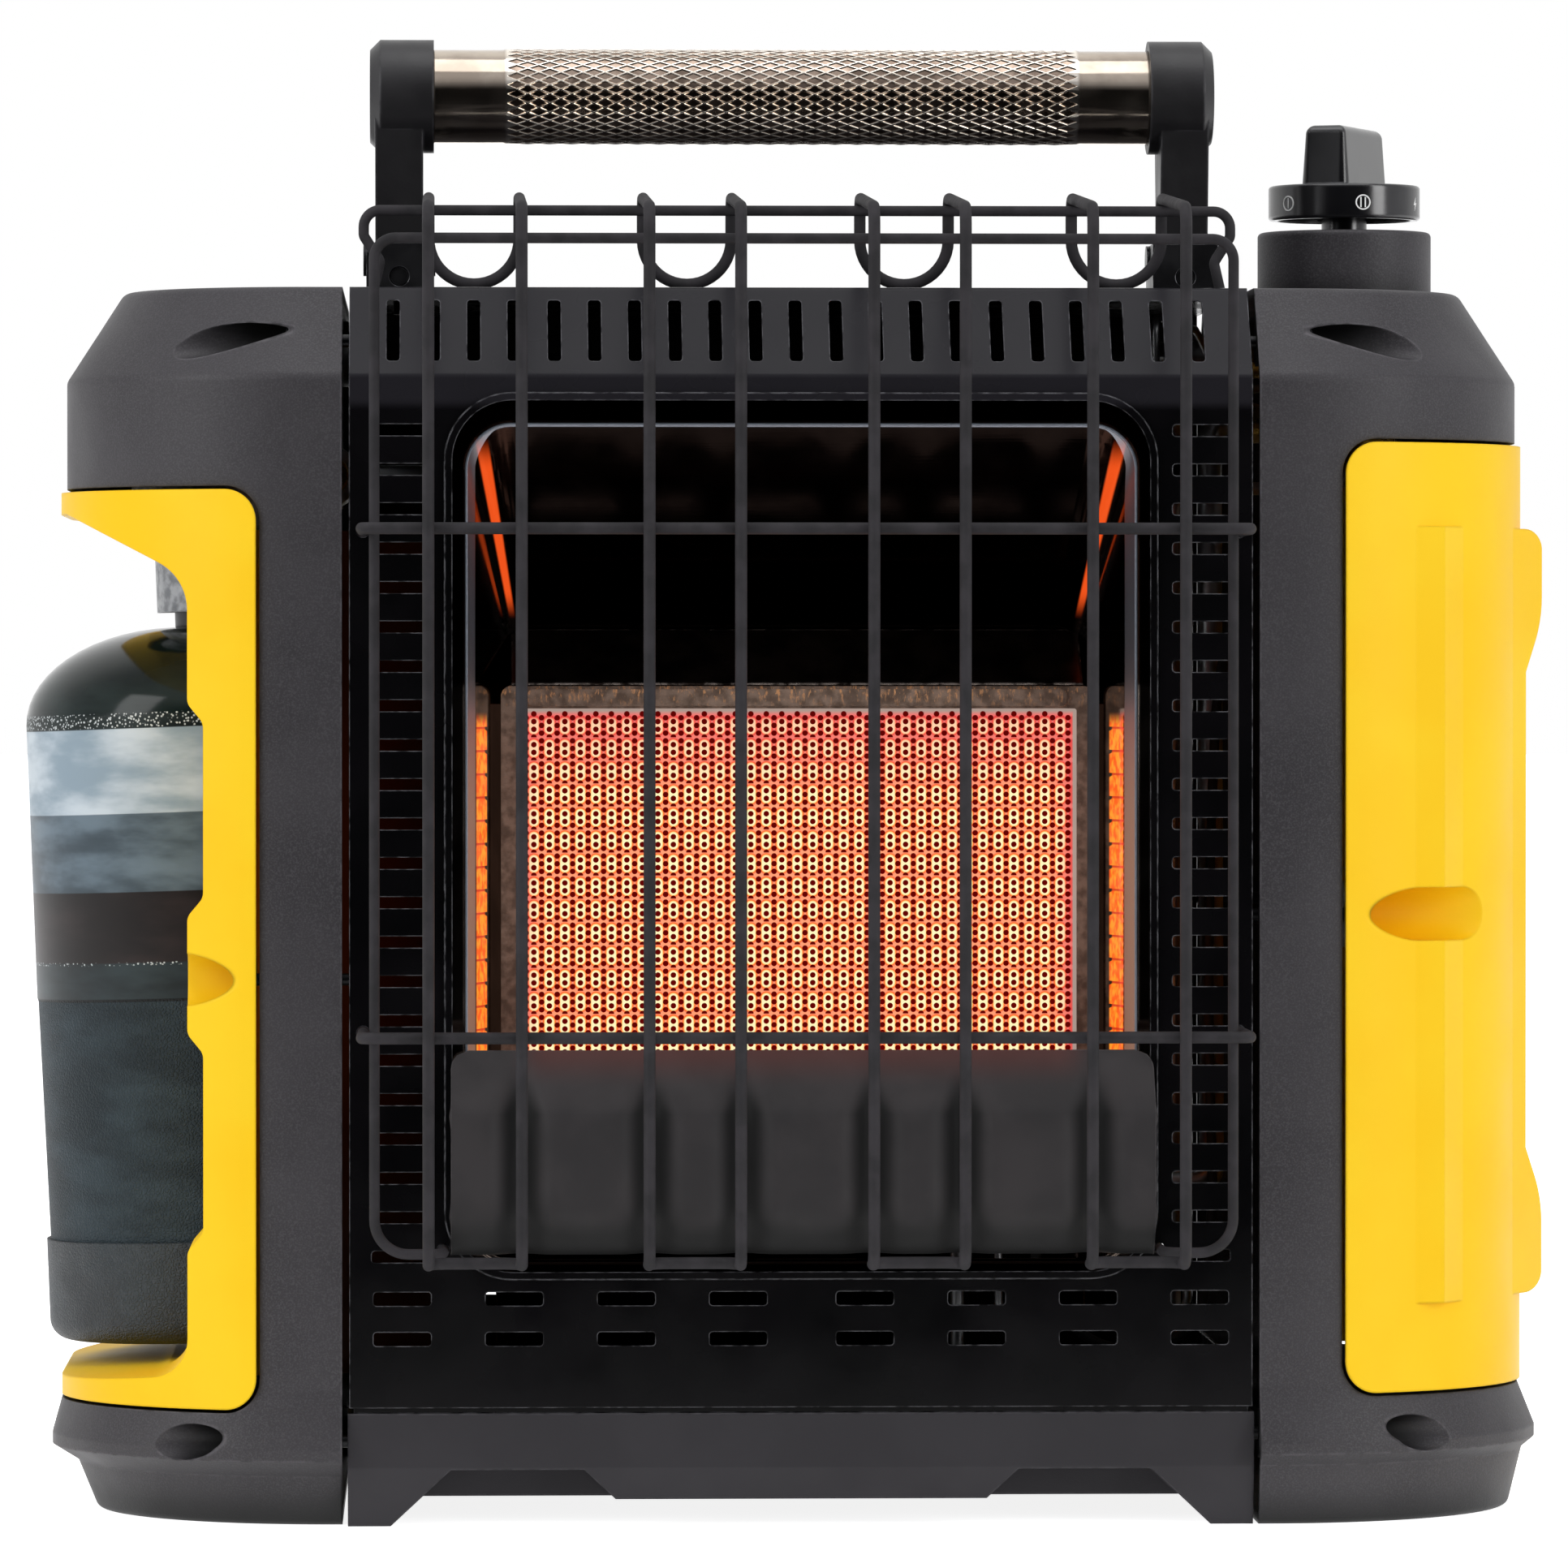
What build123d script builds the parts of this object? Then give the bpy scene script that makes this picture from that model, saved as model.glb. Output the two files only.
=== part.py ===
"""Portable propane heater: sheet-metal housing between two plastic towers, gas cylinder in a side bay.

Millimetres, +X to the right, +Y to the back, +Z up. The origin is on the ground, in the middle of the
whole heater's box. Depths are counted from the housing's front plane towards the back.
"""

import os
from math import cos, radians, sin, tan

from build123d import *

# Housing and towers
body_depth = 190.0
body_height = 294.0
housing_width = 214.0
sheet = 1.0
tower_gap = 1.7
tower_width = 67.1
tower_corner = 62.0
tower_wall = 2.5
shoulder_drop = 21.6
shoulder_inset = 17.0
shoulder_crown = 3.0
skirt_top = 32.0
lip_thick = 2.8
left_skirt = {"flare": 3.7, "lip": 15.8, "step": -2.4, "step_height": 11.8, "foot": -7.3}
right_skirt = {"flare": 4.9, "lip": 17.0, "step": 2.1, "step_height": 14.3, "foot": -1.4}
foot_round = 2.0
foot_corner = 64.3
lip_round = 1.0
crease_round = 3.0

# Housing panels
panel_bottom = 28.2
panel_return = 22.0
bend_round = 2.0
top_slot_count = 21
top_slot_pitch = 9.55
top_slot_shift = -1.1
top_slot_width = 3.1
top_slot_low_drop = 18.1
top_slot_high_drop = 3.3
side_slot_pitch = 9.31
side_slot_height = 2.7
side_slot_inner = 88.0
side_slot_length = 13.7
side_slot_top_drop = 34.5
side_slot_low = 60.0
low_slot_count = 4
low_slot_first = 15.0
low_slot_pitch = 26.5
low_slot_length = 13.6
low_slot_height = 3.2
low_slot_upper = 54.0
low_slot_lower = 44.5
slot_round = 0.8

# Reflector, its opening and the canopy over the burner
mouth_drop = 33.4
rim_drop = 25.7
mouth = {"half": 79.0, "top": body_height - mouth_drop, "bottom": 63.4, "corner": 10.5}
rim = {"half": 84.4, "top": body_height - rim_drop, "bottom": 58.6, "corner": 16.0}
rim_width = 1.8
rim_height = 1.0
bowl_depth = 43.0
bowl_back = {"half": 68.4, "top": 213.5, "bottom": 66.0, "corner": 6.0}
bowl_sheet = 0.8
flange_reach = 2.0
lip_bead = 1.0
canopy_front_depth = 26.5
canopy_front_height = 199.6
canopy_sheet = 0.8

# Burner
tile_half = 68.0
tile_bottom = 100.8
tile_top = 194.6
tile_corner = 0.6
tile_thick = 12.0
tile_front_depth = 28.0
gasket = 0.6
frame_half = 71.0
frame_bottom = 95.0
frame_top = 199.0
frame_sheet = 1.0
frame_lip = 1.0
strip_half = 64.6
strip_height = 4.8
strip_corner = 2.5
plenum_half = 66.5
plenum_depth = 28.0
plenum_sheet = 0.8
venturi_radius = 8.0
venturi_bore = 6.8
venturi_mouth = 11.0
venturi_mouth_length = 14.0
venturi_height = 78.0
venturi_start = 62.0
venturi_end = -4.0
venturi_bend = 12.0
jet_radius = 4.0
jet_length = 14.0
jet_gap = 3.0
jet_bracket = 1.5

# Heat deflector in front of the burner
deflector_half = 83.0
deflector_top = 113.0
deflector_crease = 98.3
deflector_turn = 74.0
deflector_bottom = 64.2
deflector_sheet = 1.0
deflector_top_depth = -4.0
deflector_front_depth = -16.0
deflector_tab_from = 42.5
deflector_tab_to = 64.5
deflector_tab_reach = 3.6

# Wire guard
wire_radius = 1.4
frame_wire_radius = 1.25
guard_standoff = 38.0
hairpin_outer = (88.2, 66.5)
hairpin_inner = (36.8, 15.5)
hairpin_front_rise = 16.5
hairpin_rear_rise = 22.4
hairpin_loop_depth = 40.0
hairpin_loop_rise = 1.6
hairpin_bottom = 62.6
hairpin_back_depth = -26.0
hairpin_bend = 5.0
weld_gap = 0.05
crossbar_heights = (235.7, 117.0)
crossbar_half = 103.7
crossbar_bend = 2.6
side_frame_half = 100.9
side_frame_depth = -18.0
side_frame_rise = 10.0
side_frame_bottom = 65.7
side_frame_end = 84.8
side_frame_corner = 8.0
top_bar_depth = 26.0
top_bar_half = 103.7
top_bar_bend = 4.0
top_bar_curl = 99.8
top_bar_curl_rise = 6.4
top_bar_foot = 101.5
guard_hole_gap = 0.1

# Base
bar_top = 26.9
bar_depth = 26.0
bar_wall = 2.5
bar_step_depth = 12.0
bar_gap = 0.6
bar_middle_height = 6.4
bar_arch_height = 13.5
bar_middle_half = 44.0
bar_arch_from = 51.5
bar_arch_to = 83.0
bar_foot_inner = 97.3
bar_crease = 14.0
bar_draft = 3.0
pan_sheet = 1.0
pan_flange = 10.0

# Screw wells in the towers
well_wall = 1.5
top_well_drop = 13.1
top_well_height = body_height - top_well_drop
top_well = {"depth": 12.5, "height": top_well_height, "radius": 4.3, "floor": 120.0, "reach": 0.0}
left_foot_well = {"depth": 5.4, "height": 20.0, "radius": 4.3, "floor": 126.0, "reach": 0.0}
right_foot_well = {"depth": 5.4, "height": 21.4, "radius": 4.3, "floor": 126.0, "reach": 0.0}
hose_well = {"depth": 8.7, "height": 144.7, "radius": 6.35, "floor": 131.5, "reach": 8.4}
bay_well = {"depth": 8.4, "height": 129.4, "radius": 6.35, "floor": 131.5, "reach": 0.0}
screw_shank = 1.5
screw_head = 3.0
screw_head_length = 2.0
screw_clearance = 0.2
screw_reach = 103.0

# Yellow side pieces
trim_grow = 1.4
trim_gap = 0.8
trim_wall = 2.5
hose_inner = 129.3
hose_bottom = 31.0
hose_top_drop = 37.0
hose_corner = 7.5
cleat_start = 146.5
cleat_crease = 153.6
cleat_crease_lift = 3.6
cleat_out = 182.0
cleat_between = 177.3
cleat_side_depth = 54.0
cleat_ramp_low = 87.2
cleat_ramp_drop = 91.6
cleat_ramp_length = 12.5
cleat_ramp_round = 32.0
cleat_corner = 5.0
pad_bottom = 52.0
pad_top_drop = 57.0
bay_inner = 129.0
bay_bottom = 27.7
bay_top_drop = 48.4
bay_tip_drop = 53.7
bay_slope_from = 175.4
bay_slope_drop = 69.3
bay_edge = 145.4
bay_roof_round = 12.7
bay_notch = 3.8
bay_notch_ramp = 4.5
bay_notch_shares = ((0.818, 0.599), (0.404, 0.180))
bay_shelf = 35.5
bay_shelf_round = 9.5
bay_notch_round = 3.5
bay_shelf_dip = 3.0
tub_radius = 55.0
tub_wall = 2.5
tub_axis = 134.5
tub_roof_drop = 60.0
tub_roof_hole = 25.0
tub_depth = 100.0

# Regulator and its swivel
swivel_clearance = 1.0
swivel_drop = 43.5
swivel_radius = 5.0
swivel_bore_gap = 0.05
swivel_barrel = 7.6
swivel_ear_width = 11.0
swivel_ear_sheet = 1.5
swivel_span = 34.0
swivel_flange = 36.0
swivel_pin_tail = 14.0
barrel_gap = 0.3
lean = 2.25
fitting_radius = 16.0
fitting_bottom_drop = 75.4
fitting_top_drop = 56.0
regulator_radius = 21.0
regulator_top_drop = 32.0
regulator_arm = 12.0
regulator_arm_drop = 50.0
regulator_cap_radius = 15.0
regulator_cap_height = 8.0

# Gas cylinder
cylinder_across = 140.5
cylinder_radius = 49.25
cylinder_wall = 1.2
cylinder_bottom = 41.0
cylinder_shoulder_drop = 102.0
cylinder_top_drop = 79.1
cylinder_neck_radius = 12.7
cylinder_neck_drop = 64.0
cylinder_neck_bore = 7.0
cylinder_waist = 11.7
neck_floor = 0.9
neck_thread_drop = 74.8
dome_steps = 12
cup_top = 65.8
cup_bottom_round = 5.0
neck_clearance = 0.05

# Knob, stem and valve
knob_across = 138.1
knob_depth = 100.0
boss_radius = 21.4
boss_rise = 17.0
boss_wall = 2.0
boss_round = 1.2
boss_hole_gap = 0.9
hub_radius = 5.6
hub_drop = 8.4
ring_radius = 18.7
ring_rise = 11.5
ring_recess = 16.5
ring_web = 3.0
ring_round = 0.8
grip_thick = 12.0
grip_long = 33.0
grip_rise = 26.0
grip_taper = 4.0
grip_corner = 2.0
grip_round = 2.2
grip_turn = -23.3
stem_radius = 3.0
stem_drop = 32.0
stem_rise = 17.0
stem_gap = 0.05
plunger_radius = 9.0
plunger_thick = 1.2
plunger_gap = 0.2
push_travel = 2.4
push_clearance = 0.6
spring_coil = 4.6
spring_wire = 0.5
spring_turns = 4
valve_radius = 13.0
valve_drop = 40.0
valve_neck_radius = 8.0
valve_neck_drop = 1.0
valve_bore_depth = 5.0
valve_port_radius = 5.0
valve_port_length = 12.0
valve_inlet_drop = 14.0
valve_outlet_drop = 30.0
bracket_sheet = 1.5
bracket_half = 18.0
piezo_radius = 5.0
piezo_length = 32.0

# Handle
handle_forward = 26.0
handle_rise = 48.4
handle_radius = 11.55
handle_wall = 1.2
handle_socket = 8.0
cap_inner = 87.0
cap_outer = 102.5
cap_radius = 13.75
cap_chamfer = 2.5
arm_inner = 89.6
arm_outer = 101.2
arm_foot_radius = 6.4
arm_head_half = 12.0
hinge_rise = 8.5
hinge_pin = 2.5
hinge_gap = 0.05
hinge_head = 3.8
hinge_head_thick = 0.8
cheek_sheet = 1.8
cheek_gap = 0.35
cheek_half_depth = 10.0
cheek_rise = 12.3
stop_wall = 3.0
stop_ahead = 12.5
stop_screw_rise = 4.2
stop_hole = 2.4
stop_counterbore = 1.6
foot_plate = 1.3
foot_plate_tail = 14.0

# Tip-over switch
switch_across = 46.0
switch_depth = 128.0
switch_length = 30.0
switch_width = 24.0
switch_sheet = 1.5
switch_height = 34.0
switch_pin = 1.5
switch_pin_drop = 5.0
switch_bob = 7.0
switch_bob_length = 12.0
switch_arm_half = 2.4
switch_gap = 0.05

# Pilot group, leads and shield
pilot_bracket_from = 32.0
pilot_bracket_to = 62.0
pilot_bracket_low = 82.0
pilot_across = 38.0
pilot_radius = 4.0
pilot_low = 80.0
pilot_high = 93.0
pilot_tube_radius = 1.6
sensor_across = 48.0
sensor_radius = 2.2
sensor_low = 74.0
sensor_high = 98.0
lead_radius = 1.0
spark_across = 57.0
spark_radius = 2.4
spark_low = 78.0
spark_high = 92.0
spark_tip = 97.0
spark_tip_radius = 0.7
lead_loop_back = 60.0
service_hole_from = 26.0
service_hole_to = 66.0
service_hole_near = 14.0
service_hole_far = 36.0
service_hole_top = 67.0
shield_depth = 72.0
shield_half = 72.0
shield_top = 228.0
shield_sheet = 0.8
shield_foot = 12.0
feed_radius = 4.2
feed_bend = 12.5
feed_tail = 28.6
gas_tube_radius = 3.0
gas_tube_bend = 4.5
arc_share = 0.45

# Length under which two places count as one
same_place = 0.1

# Derived places
front_y = (guard_standoff + wire_radius - body_depth - right_skirt["flare"]) / 2
tower_inner = housing_width / 2 + tower_gap
tower_outer = tower_inner + tower_width
middle_depth = body_depth / 2
handle_depth = middle_depth - handle_forward
stop_depth = handle_depth - stop_ahead
far_away = 3 * body_depth
swivel_front = tub_depth - swivel_span / 2
swivel_back = tub_depth + swivel_span / 2
swivel_across = cylinder_across - regulator_radius - swivel_ear_width / 2 - swivel_clearance
bracket_middle = (arm_inner + arm_outer) / 2

# Heights counted from the top of the body
shoulder_height = body_height - shoulder_drop
top_slot_low = body_height - top_slot_low_drop
top_slot_high = body_height - top_slot_high_drop
hairpin_front_top = body_height + hairpin_front_rise
hairpin_rear_top = body_height + hairpin_rear_rise
hairpin_loop_low = body_height + hairpin_loop_rise
side_frame_top = body_height + side_frame_rise
top_bar_curl_height = body_height + top_bar_curl_rise
boss_top = body_height + boss_rise
hub_bottom = boss_top - hub_drop
ring_bottom = boss_top + push_travel + push_clearance
ring_top = boss_top + ring_rise
grip_top = boss_top + grip_rise
stem_bottom = body_height - stem_drop
stem_top = boss_top + stem_rise
valve_bottom = body_height - valve_drop
valve_neck_top = body_height - valve_neck_drop
valve_inlet_height = body_height - valve_inlet_drop
valve_outlet_height = body_height - valve_outlet_drop
handle_height = body_height + handle_rise
hinge_height = body_height + hinge_rise
cheek_top = body_height + cheek_rise
stop_screw_height = body_height + stop_screw_rise
side_slot_top = body_height - side_slot_top_drop
side_slot_count = int((side_slot_top - side_slot_low) / side_slot_pitch) + 1
hose_top = body_height - hose_top_drop
pad_top = body_height - pad_top_drop
cleat_ramp_high = body_height - cleat_ramp_drop
bay_top = body_height - bay_top_drop
bay_tip_height = body_height - bay_tip_drop
bay_slope_height = body_height - bay_slope_drop
tub_roof = body_height - tub_roof_drop
swivel_height = body_height - swivel_drop
fitting_bottom = body_height - fitting_bottom_drop
fitting_top = body_height - fitting_top_drop
regulator_top = body_height - regulator_top_drop
regulator_arm_low = body_height - regulator_arm_drop
cylinder_shoulder = body_height - cylinder_shoulder_drop
cylinder_top = body_height - cylinder_top_drop
cylinder_neck_top = body_height - cylinder_neck_drop
neck_thread_bottom = body_height - neck_thread_drop


def place(x, depth, z):
    """Point at a place across, a depth behind the front plane and a height."""
    return Vector(x, front_y + depth, z)


def block(across, depths, heights):
    """Block between two places across, two depths and two heights."""
    spans = (across, depths, heights)
    middle = place(*[(low + high) / 2 for low, high in spans])
    return Pos(middle) * Box(*[abs(high - low) for low, high in spans])


def rod(start, end, radius):
    """Round bar between two points."""
    along = end - start
    ends = (Align.CENTER, Align.CENTER, Align.MIN)
    return Plane(origin=start, z_dir=along) * Cylinder(radius, along.length, align=ends)


def post(x, depth, heights, radius):
    """Upright round bar."""
    return rod(place(x, depth, heights[0]), place(x, depth, heights[1]), radius)


def crossways(depth, z, across, radius):
    """Round bar along X."""
    return rod(place(across[0], depth, z), place(across[1], depth, z), radius)


def bent_bar(points, bends, radius, closed=False):
    """Round bar along straight runs joined by bends."""
    path = FilletPolyline(*points, radius=bends, close=closed)
    section = Plane(origin=path @ 0, z_dir=path % 0) * Circle(radius)
    return sweep(section, path=path)


def cord(name, points, radius):
    """Round cord whose arcs are as large as the runs beside them allow."""
    bends = []
    for before, corner, after in zip(points, points[1:], points[2:]):
        first = corner - before
        second = after - corner
        half_turn = radians(first.get_angle(second)) / 2
        bends.append(arc_share * min(first.length, second.length) / tan(half_turn))
    print(name, "arc radii", [round(bend, 1) for bend in bends])
    return bent_bar(points, bends, radius)


def front_prism(sketch, depths):
    """Prism of a front-view sketch between two depths."""
    near, far = depths
    plane = Plane(origin=place(0, far, 0), x_dir=(1, 0, 0), z_dir=(0, -1, 0))
    return extrude(plane * sketch, amount=far - near)


def side_prism(outline, across):
    """Prism of a closed outline of (depth, height) points between two places across."""
    left, right = across
    plane = Plane(origin=place(left, 0, 0), x_dir=(0, 1, 0), z_dir=(1, 0, 0))
    return extrude(plane * make_face(Polyline(*outline, close=True)), amount=right - left)


def rounded(across, heights, corner):
    """Front-view rectangle with round corners."""
    width = across[1] - across[0]
    height = heights[1] - heights[0]
    return Pos(sum(across) / 2, sum(heights) / 2) * RectangleRounded(width, height, corner)


def framed(shape, grow):
    """Front-view outline of a round-cornered frame in the middle of the housing, grown by a distance."""
    half = shape["half"] + grow
    heights = (shape["bottom"] - grow, shape["top"] + grow)
    return rounded((-half, half), heights, shape["corner"] + grow)


def polygon(points):
    """Filled outline in a sketch plane."""
    return make_face(Polyline(*points, close=True))


def mirrored(part):
    """The same piece on the other side of the heater."""
    return mirror(part, about=Plane.YZ)


def rear(part):
    """The same piece mirrored from the front of the body to its back."""
    plane = Plane(origin=place(0, middle_depth, 0), z_dir=(0, 1, 0))
    return mirror(part, about=plane)


def group(*parts):
    """Separate solids kept together in one node."""
    return Compound([solid for part in parts for solid in part.solids()])


def edges_at(part, z):
    """Edges that lie flat at one height."""
    flat = []
    for edge in part.edges():
        box = edge.bounding_box()
        if max(abs(box.min.Z - z), abs(box.max.Z - z)) < same_place:
            flat.append(edge)
    return flat


def save(name, part):
    """Write one sub-part."""
    export_step(part, f"parts/{name}.step")


# Towers


def tower_plan(height, grow, corner=tower_corner, crown=0.0):
    """Plan of a tower and its mirror image about the tower's inner face, wider at a crown."""
    width = 2 * (tower_width + grow + crown)
    plan = RectangleRounded(width, body_depth + 2 * grow, corner + grow)
    return Pos(place(tower_inner, middle_depth, height)) * plan


def tower_half(stack):
    """The half of a stack that lies outside the housing."""
    keep = block((tower_inner, far_away), (-far_away, far_away), (-body_height, 2 * body_height))
    return stack & keep


def skirt_levels(skirt):
    """Height, outward growth and corner radius of a tower's foot up to its skirt's top."""
    return [
        (0, skirt["foot"], foot_corner),
        (skirt["step_height"], skirt["step"], foot_corner),
        (skirt["lip"], skirt["flare"], tower_corner),
        (skirt["lip"] + lip_thick, skirt["flare"], tower_corner),
        (skirt_top, 0, tower_corner),
    ]


def tower_outside(skirt):
    """Outer form of the right tower, from its foot to its bevelled shoulder."""
    levels = skirt_levels(skirt)
    levels.append((shoulder_height, 0, tower_corner))
    levels.append((body_height, -shoulder_inset, tower_corner, shoulder_crown))
    stack = loft([tower_plan(*level) for level in levels], ruled=True)
    for z in (body_height, shoulder_height, skirt_top):
        stack = fillet(edges_at(stack, z), crease_round)
    stack = fillet(edges_at(stack, skirt["lip"] + lip_thick), lip_round)
    stack = fillet(edges_at(stack, 0), foot_round)
    return tower_half(stack)


def tower_inside(skirt):
    """Hollow of the right tower."""
    levels = [(max(z, tower_wall), grow - tower_wall, corner) for z, grow, corner in skirt_levels(skirt)]
    top = body_height - tower_wall
    levels.append((shoulder_height, -tower_wall, tower_corner))
    levels.append((top, -shoulder_inset - tower_wall / 2, tower_corner, shoulder_crown))
    return tower_half(loft([tower_plan(*level) for level in levels], ruled=True))


def well_pair(well, inner, radius, outer=far_away, reach=0.0):
    """Bars along X at a well's front place and its mirror place at the back, widened by a reach."""
    across = (inner, outer)
    near = well["depth"]
    z = well["height"]
    front = crossways(near, z, across, radius)
    if reach:
        front += block(across, (near, near + reach), (z - radius, z + radius))
        front += crossways(near + reach, z, across, radius)
    return [front, rear(front)]


def add_wells(shell, outside, well, inner):
    """Give a hollow moulding blind screw wells that open at its outer surface."""
    reach = well["reach"]
    for boss in well_pair(well, inner, well["radius"] + well_wall, far_away, reach):
        shell = shell + (boss & outside)
    for hollow in well_pair(well, well["floor"], well["radius"], far_away, reach):
        shell = shell - hollow
    for hole in well_pair(well, inner - tower_gap, screw_shank + screw_clearance, well["floor"]):
        shell = shell - hole
    return shell


def window(inner, heights, corner, grow=0.0):
    """Front-view window of a yellow side piece, running out past the tower's side."""
    across = (inner - grow, inner + body_depth)
    return rounded(across, (heights[0] - grow, heights[1] + grow), corner + grow)


def tower(inner, heights, skirt, foot_well):
    """Tower shell, as on the right, with a window for its side piece."""
    outside = tower_outside(skirt)
    shell = outside - tower_inside(skirt)
    for well in (top_well, foot_well):
        shell = add_wells(shell, outside, well, tower_inner)
    opening = window(inner, heights, hose_corner, trim_gap)
    return shell - front_prism(opening, (-body_depth, 2 * body_depth))


def right_tower():
    """Right tower, with the valve's hole in its top."""
    hole = post(knob_across, knob_depth, (body_height - 2 * tower_wall, boss_top), valve_radius)
    return tower(hose_inner, (hose_bottom, hose_top), right_skirt, right_foot_well) - hole


def left_tower():
    """Left tower, open for the cylinder bay."""
    return mirrored(tower(bay_inner, (bay_bottom, bay_top), left_skirt, left_foot_well))


def control_boss():
    """Round boss on the right tower that the knob's hub runs in."""
    shell = post(knob_across, knob_depth, (body_height, boss_top), boss_radius)
    shell = fillet(edges_at(shell, boss_top), boss_round)
    hollow = (body_height, boss_top - boss_wall)
    shell -= post(knob_across, knob_depth, hollow, boss_radius - boss_wall)
    return shell - post(knob_across, knob_depth, (body_height, 2 * boss_top), hub_radius + boss_hole_gap)


# Yellow side pieces


def trim_prism(grow, heights):
    """Upright wall form of a side piece over two heights."""
    return tower_half(extrude(tower_plan(heights[0], grow), amount=heights[1] - heights[0]))


def surface_depth(x, grow):
    """Depth of a side piece's outer face at a place across the round front corner."""
    radius = tower_corner + grow
    run = x - (tower_outer - tower_corner)
    return tower_corner - (radius**2 - run**2) ** 0.5


def cleat_plan(reach):
    """Front half of the raised pad's plan, from its start to the middle of the side."""
    start = surface_depth(cleat_start, trim_grow)
    crease = surface_depth(cleat_crease, trim_grow) - cleat_crease_lift
    return [
        place(cleat_start, start, 0),
        place(cleat_crease, crease, 0),
        place(reach, cleat_side_depth, 0),
        place(reach, middle_depth, 0),
        place(cleat_start, middle_depth, 0),
    ]


def cleat_prism(reach, heights):
    """Raised pad between two heights, front and back."""
    plan = Pos(0, 0, heights[0]) * make_face(Polyline(*cleat_plan(reach), close=True))
    front = extrude(plan, amount=heights[1] - heights[0])
    return front + rear(front)


def cleat_shape():
    """Front-view outline of the rail that a hose is wound on: an ear at each end, drawn in between them."""
    inner = cleat_start - trim_wall
    ends = [(cleat_out, pad_top), (cleat_out, pad_bottom)]
    ramp = cleat_ramp_length
    ears = [(cleat_out, cleat_ramp_high + ramp), (cleat_out, cleat_ramp_low - ramp)]
    outline = [(inner, pad_top), ends[0], ears[0], (cleat_between, cleat_ramp_high)]
    outline += [(cleat_between, cleat_ramp_low), ears[1], ends[1], (inner, pad_bottom)]
    face = round_off(polygon(outline), ends, cleat_corner)
    return round_off(face, ears, cleat_ramp_round)


def hose_panel():
    """Right side piece with the rail that a hose is wound on."""
    heights = (hose_bottom, hose_top)
    through = (-body_depth, 2 * body_depth)
    rail = cleat_prism(cleat_out, (pad_bottom, pad_top)) & front_prism(cleat_shape(), through)
    frame = front_prism(window(hose_inner, heights, hose_corner), through)
    outside = (trim_prism(trim_grow, heights) + rail) & frame
    shell = outside - trim_prism(trim_grow - trim_wall, heights)
    return add_wells(shell, outside, hose_well, hose_inner)


def notch_points(shares):
    """Edge points of one grip notch in the bay's front edge, by shares of the edge's height."""
    top, bottom = [bay_shelf + share * (bay_slope_height - bay_shelf) for share in shares]
    return [
        (-bay_edge, top + bay_notch_ramp),
        (bay_notch - bay_edge, top),
        (bay_notch - bay_edge, bottom),
        (-bay_edge, bottom - bay_notch_ramp),
    ]


def round_off(face, points, radius):
    """Round the named corners of a flat face."""
    corners = [v for v in face.vertices() if any(v.distance_to(Vertex(*p, 0)) < sheet for p in points)]
    return fillet(corners, radius)


def bay_opening():
    """Front-view outline of the cylinder bay's opening."""
    shelf_side = (-tower_outer - trim_grow, bay_shelf - bay_shelf_dip)
    roof = (-bay_edge, bay_slope_height)
    shelf = (-bay_edge, bay_shelf)
    notches = notch_points(bay_notch_shares[0]) + notch_points(bay_notch_shares[1])
    outline = [(-far_away, bay_tip_height), (-bay_slope_from, bay_tip_height), roof]
    outline += notches + [shelf, shelf_side, (-far_away, bay_shelf - bay_shelf_dip)]
    face = round_off(polygon(outline), [roof], bay_roof_round)
    face = round_off(face, [shelf], bay_shelf_round)
    return round_off(face, notches, bay_notch_round)


def bay_hollow(radius, heights, grow):
    """Room for the cylinder: a round well that opens to the side."""
    outline = bay_opening()
    if grow:
        outline = offset(outline, grow, kind=Kind.INTERSECTION)
    return post(-tub_axis, tub_depth, heights, radius) + front_prism(outline, (-body_depth, 2 * body_depth))


def bay_tub():
    """Left side piece: outer frame and the tub that the cylinder stands in."""
    heights = (bay_bottom, bay_top)
    through = (-body_depth, 2 * body_depth)
    outline = mirrored(front_prism(window(bay_inner, heights, hose_corner), through))
    column = mirrored(trim_prism(trim_grow, heights))
    core = mirrored(trim_prism(trim_grow - trim_wall, heights))
    frame = column & outline
    inboard = block((-tower_inner, 0), through, (0, body_height))
    liner = bay_hollow(tub_radius + tub_wall, (bay_shelf - tub_wall, tub_roof + tub_wall), tub_wall)
    well = post(-tub_axis, tub_depth, (bay_shelf - tub_wall, bay_top), tub_radius + tub_wall)
    shell = frame - core + (liner & (frame + (well & (column + inboard))))
    shell = mirrored(add_wells(mirrored(shell), mirrored(frame), bay_well, bay_inner))
    shell = shell - bay_hollow(tub_radius, (bay_shelf, tub_roof), 0.0)
    hole = post(-cylinder_across, tub_depth, (tub_roof - tub_wall, 2 * tub_roof), tub_roof_hole)
    return shell - hole


# Housing


def housing_outline(inset):
    """Side-view outline of half the housing, pulled in by a distance."""
    split = middle_depth
    return [
        (inset, panel_bottom),
        (inset, shoulder_height),
        (shoulder_inset + inset / 2, body_height - inset),
        (split, body_height - inset),
        (split, panel_bottom),
    ]


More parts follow.
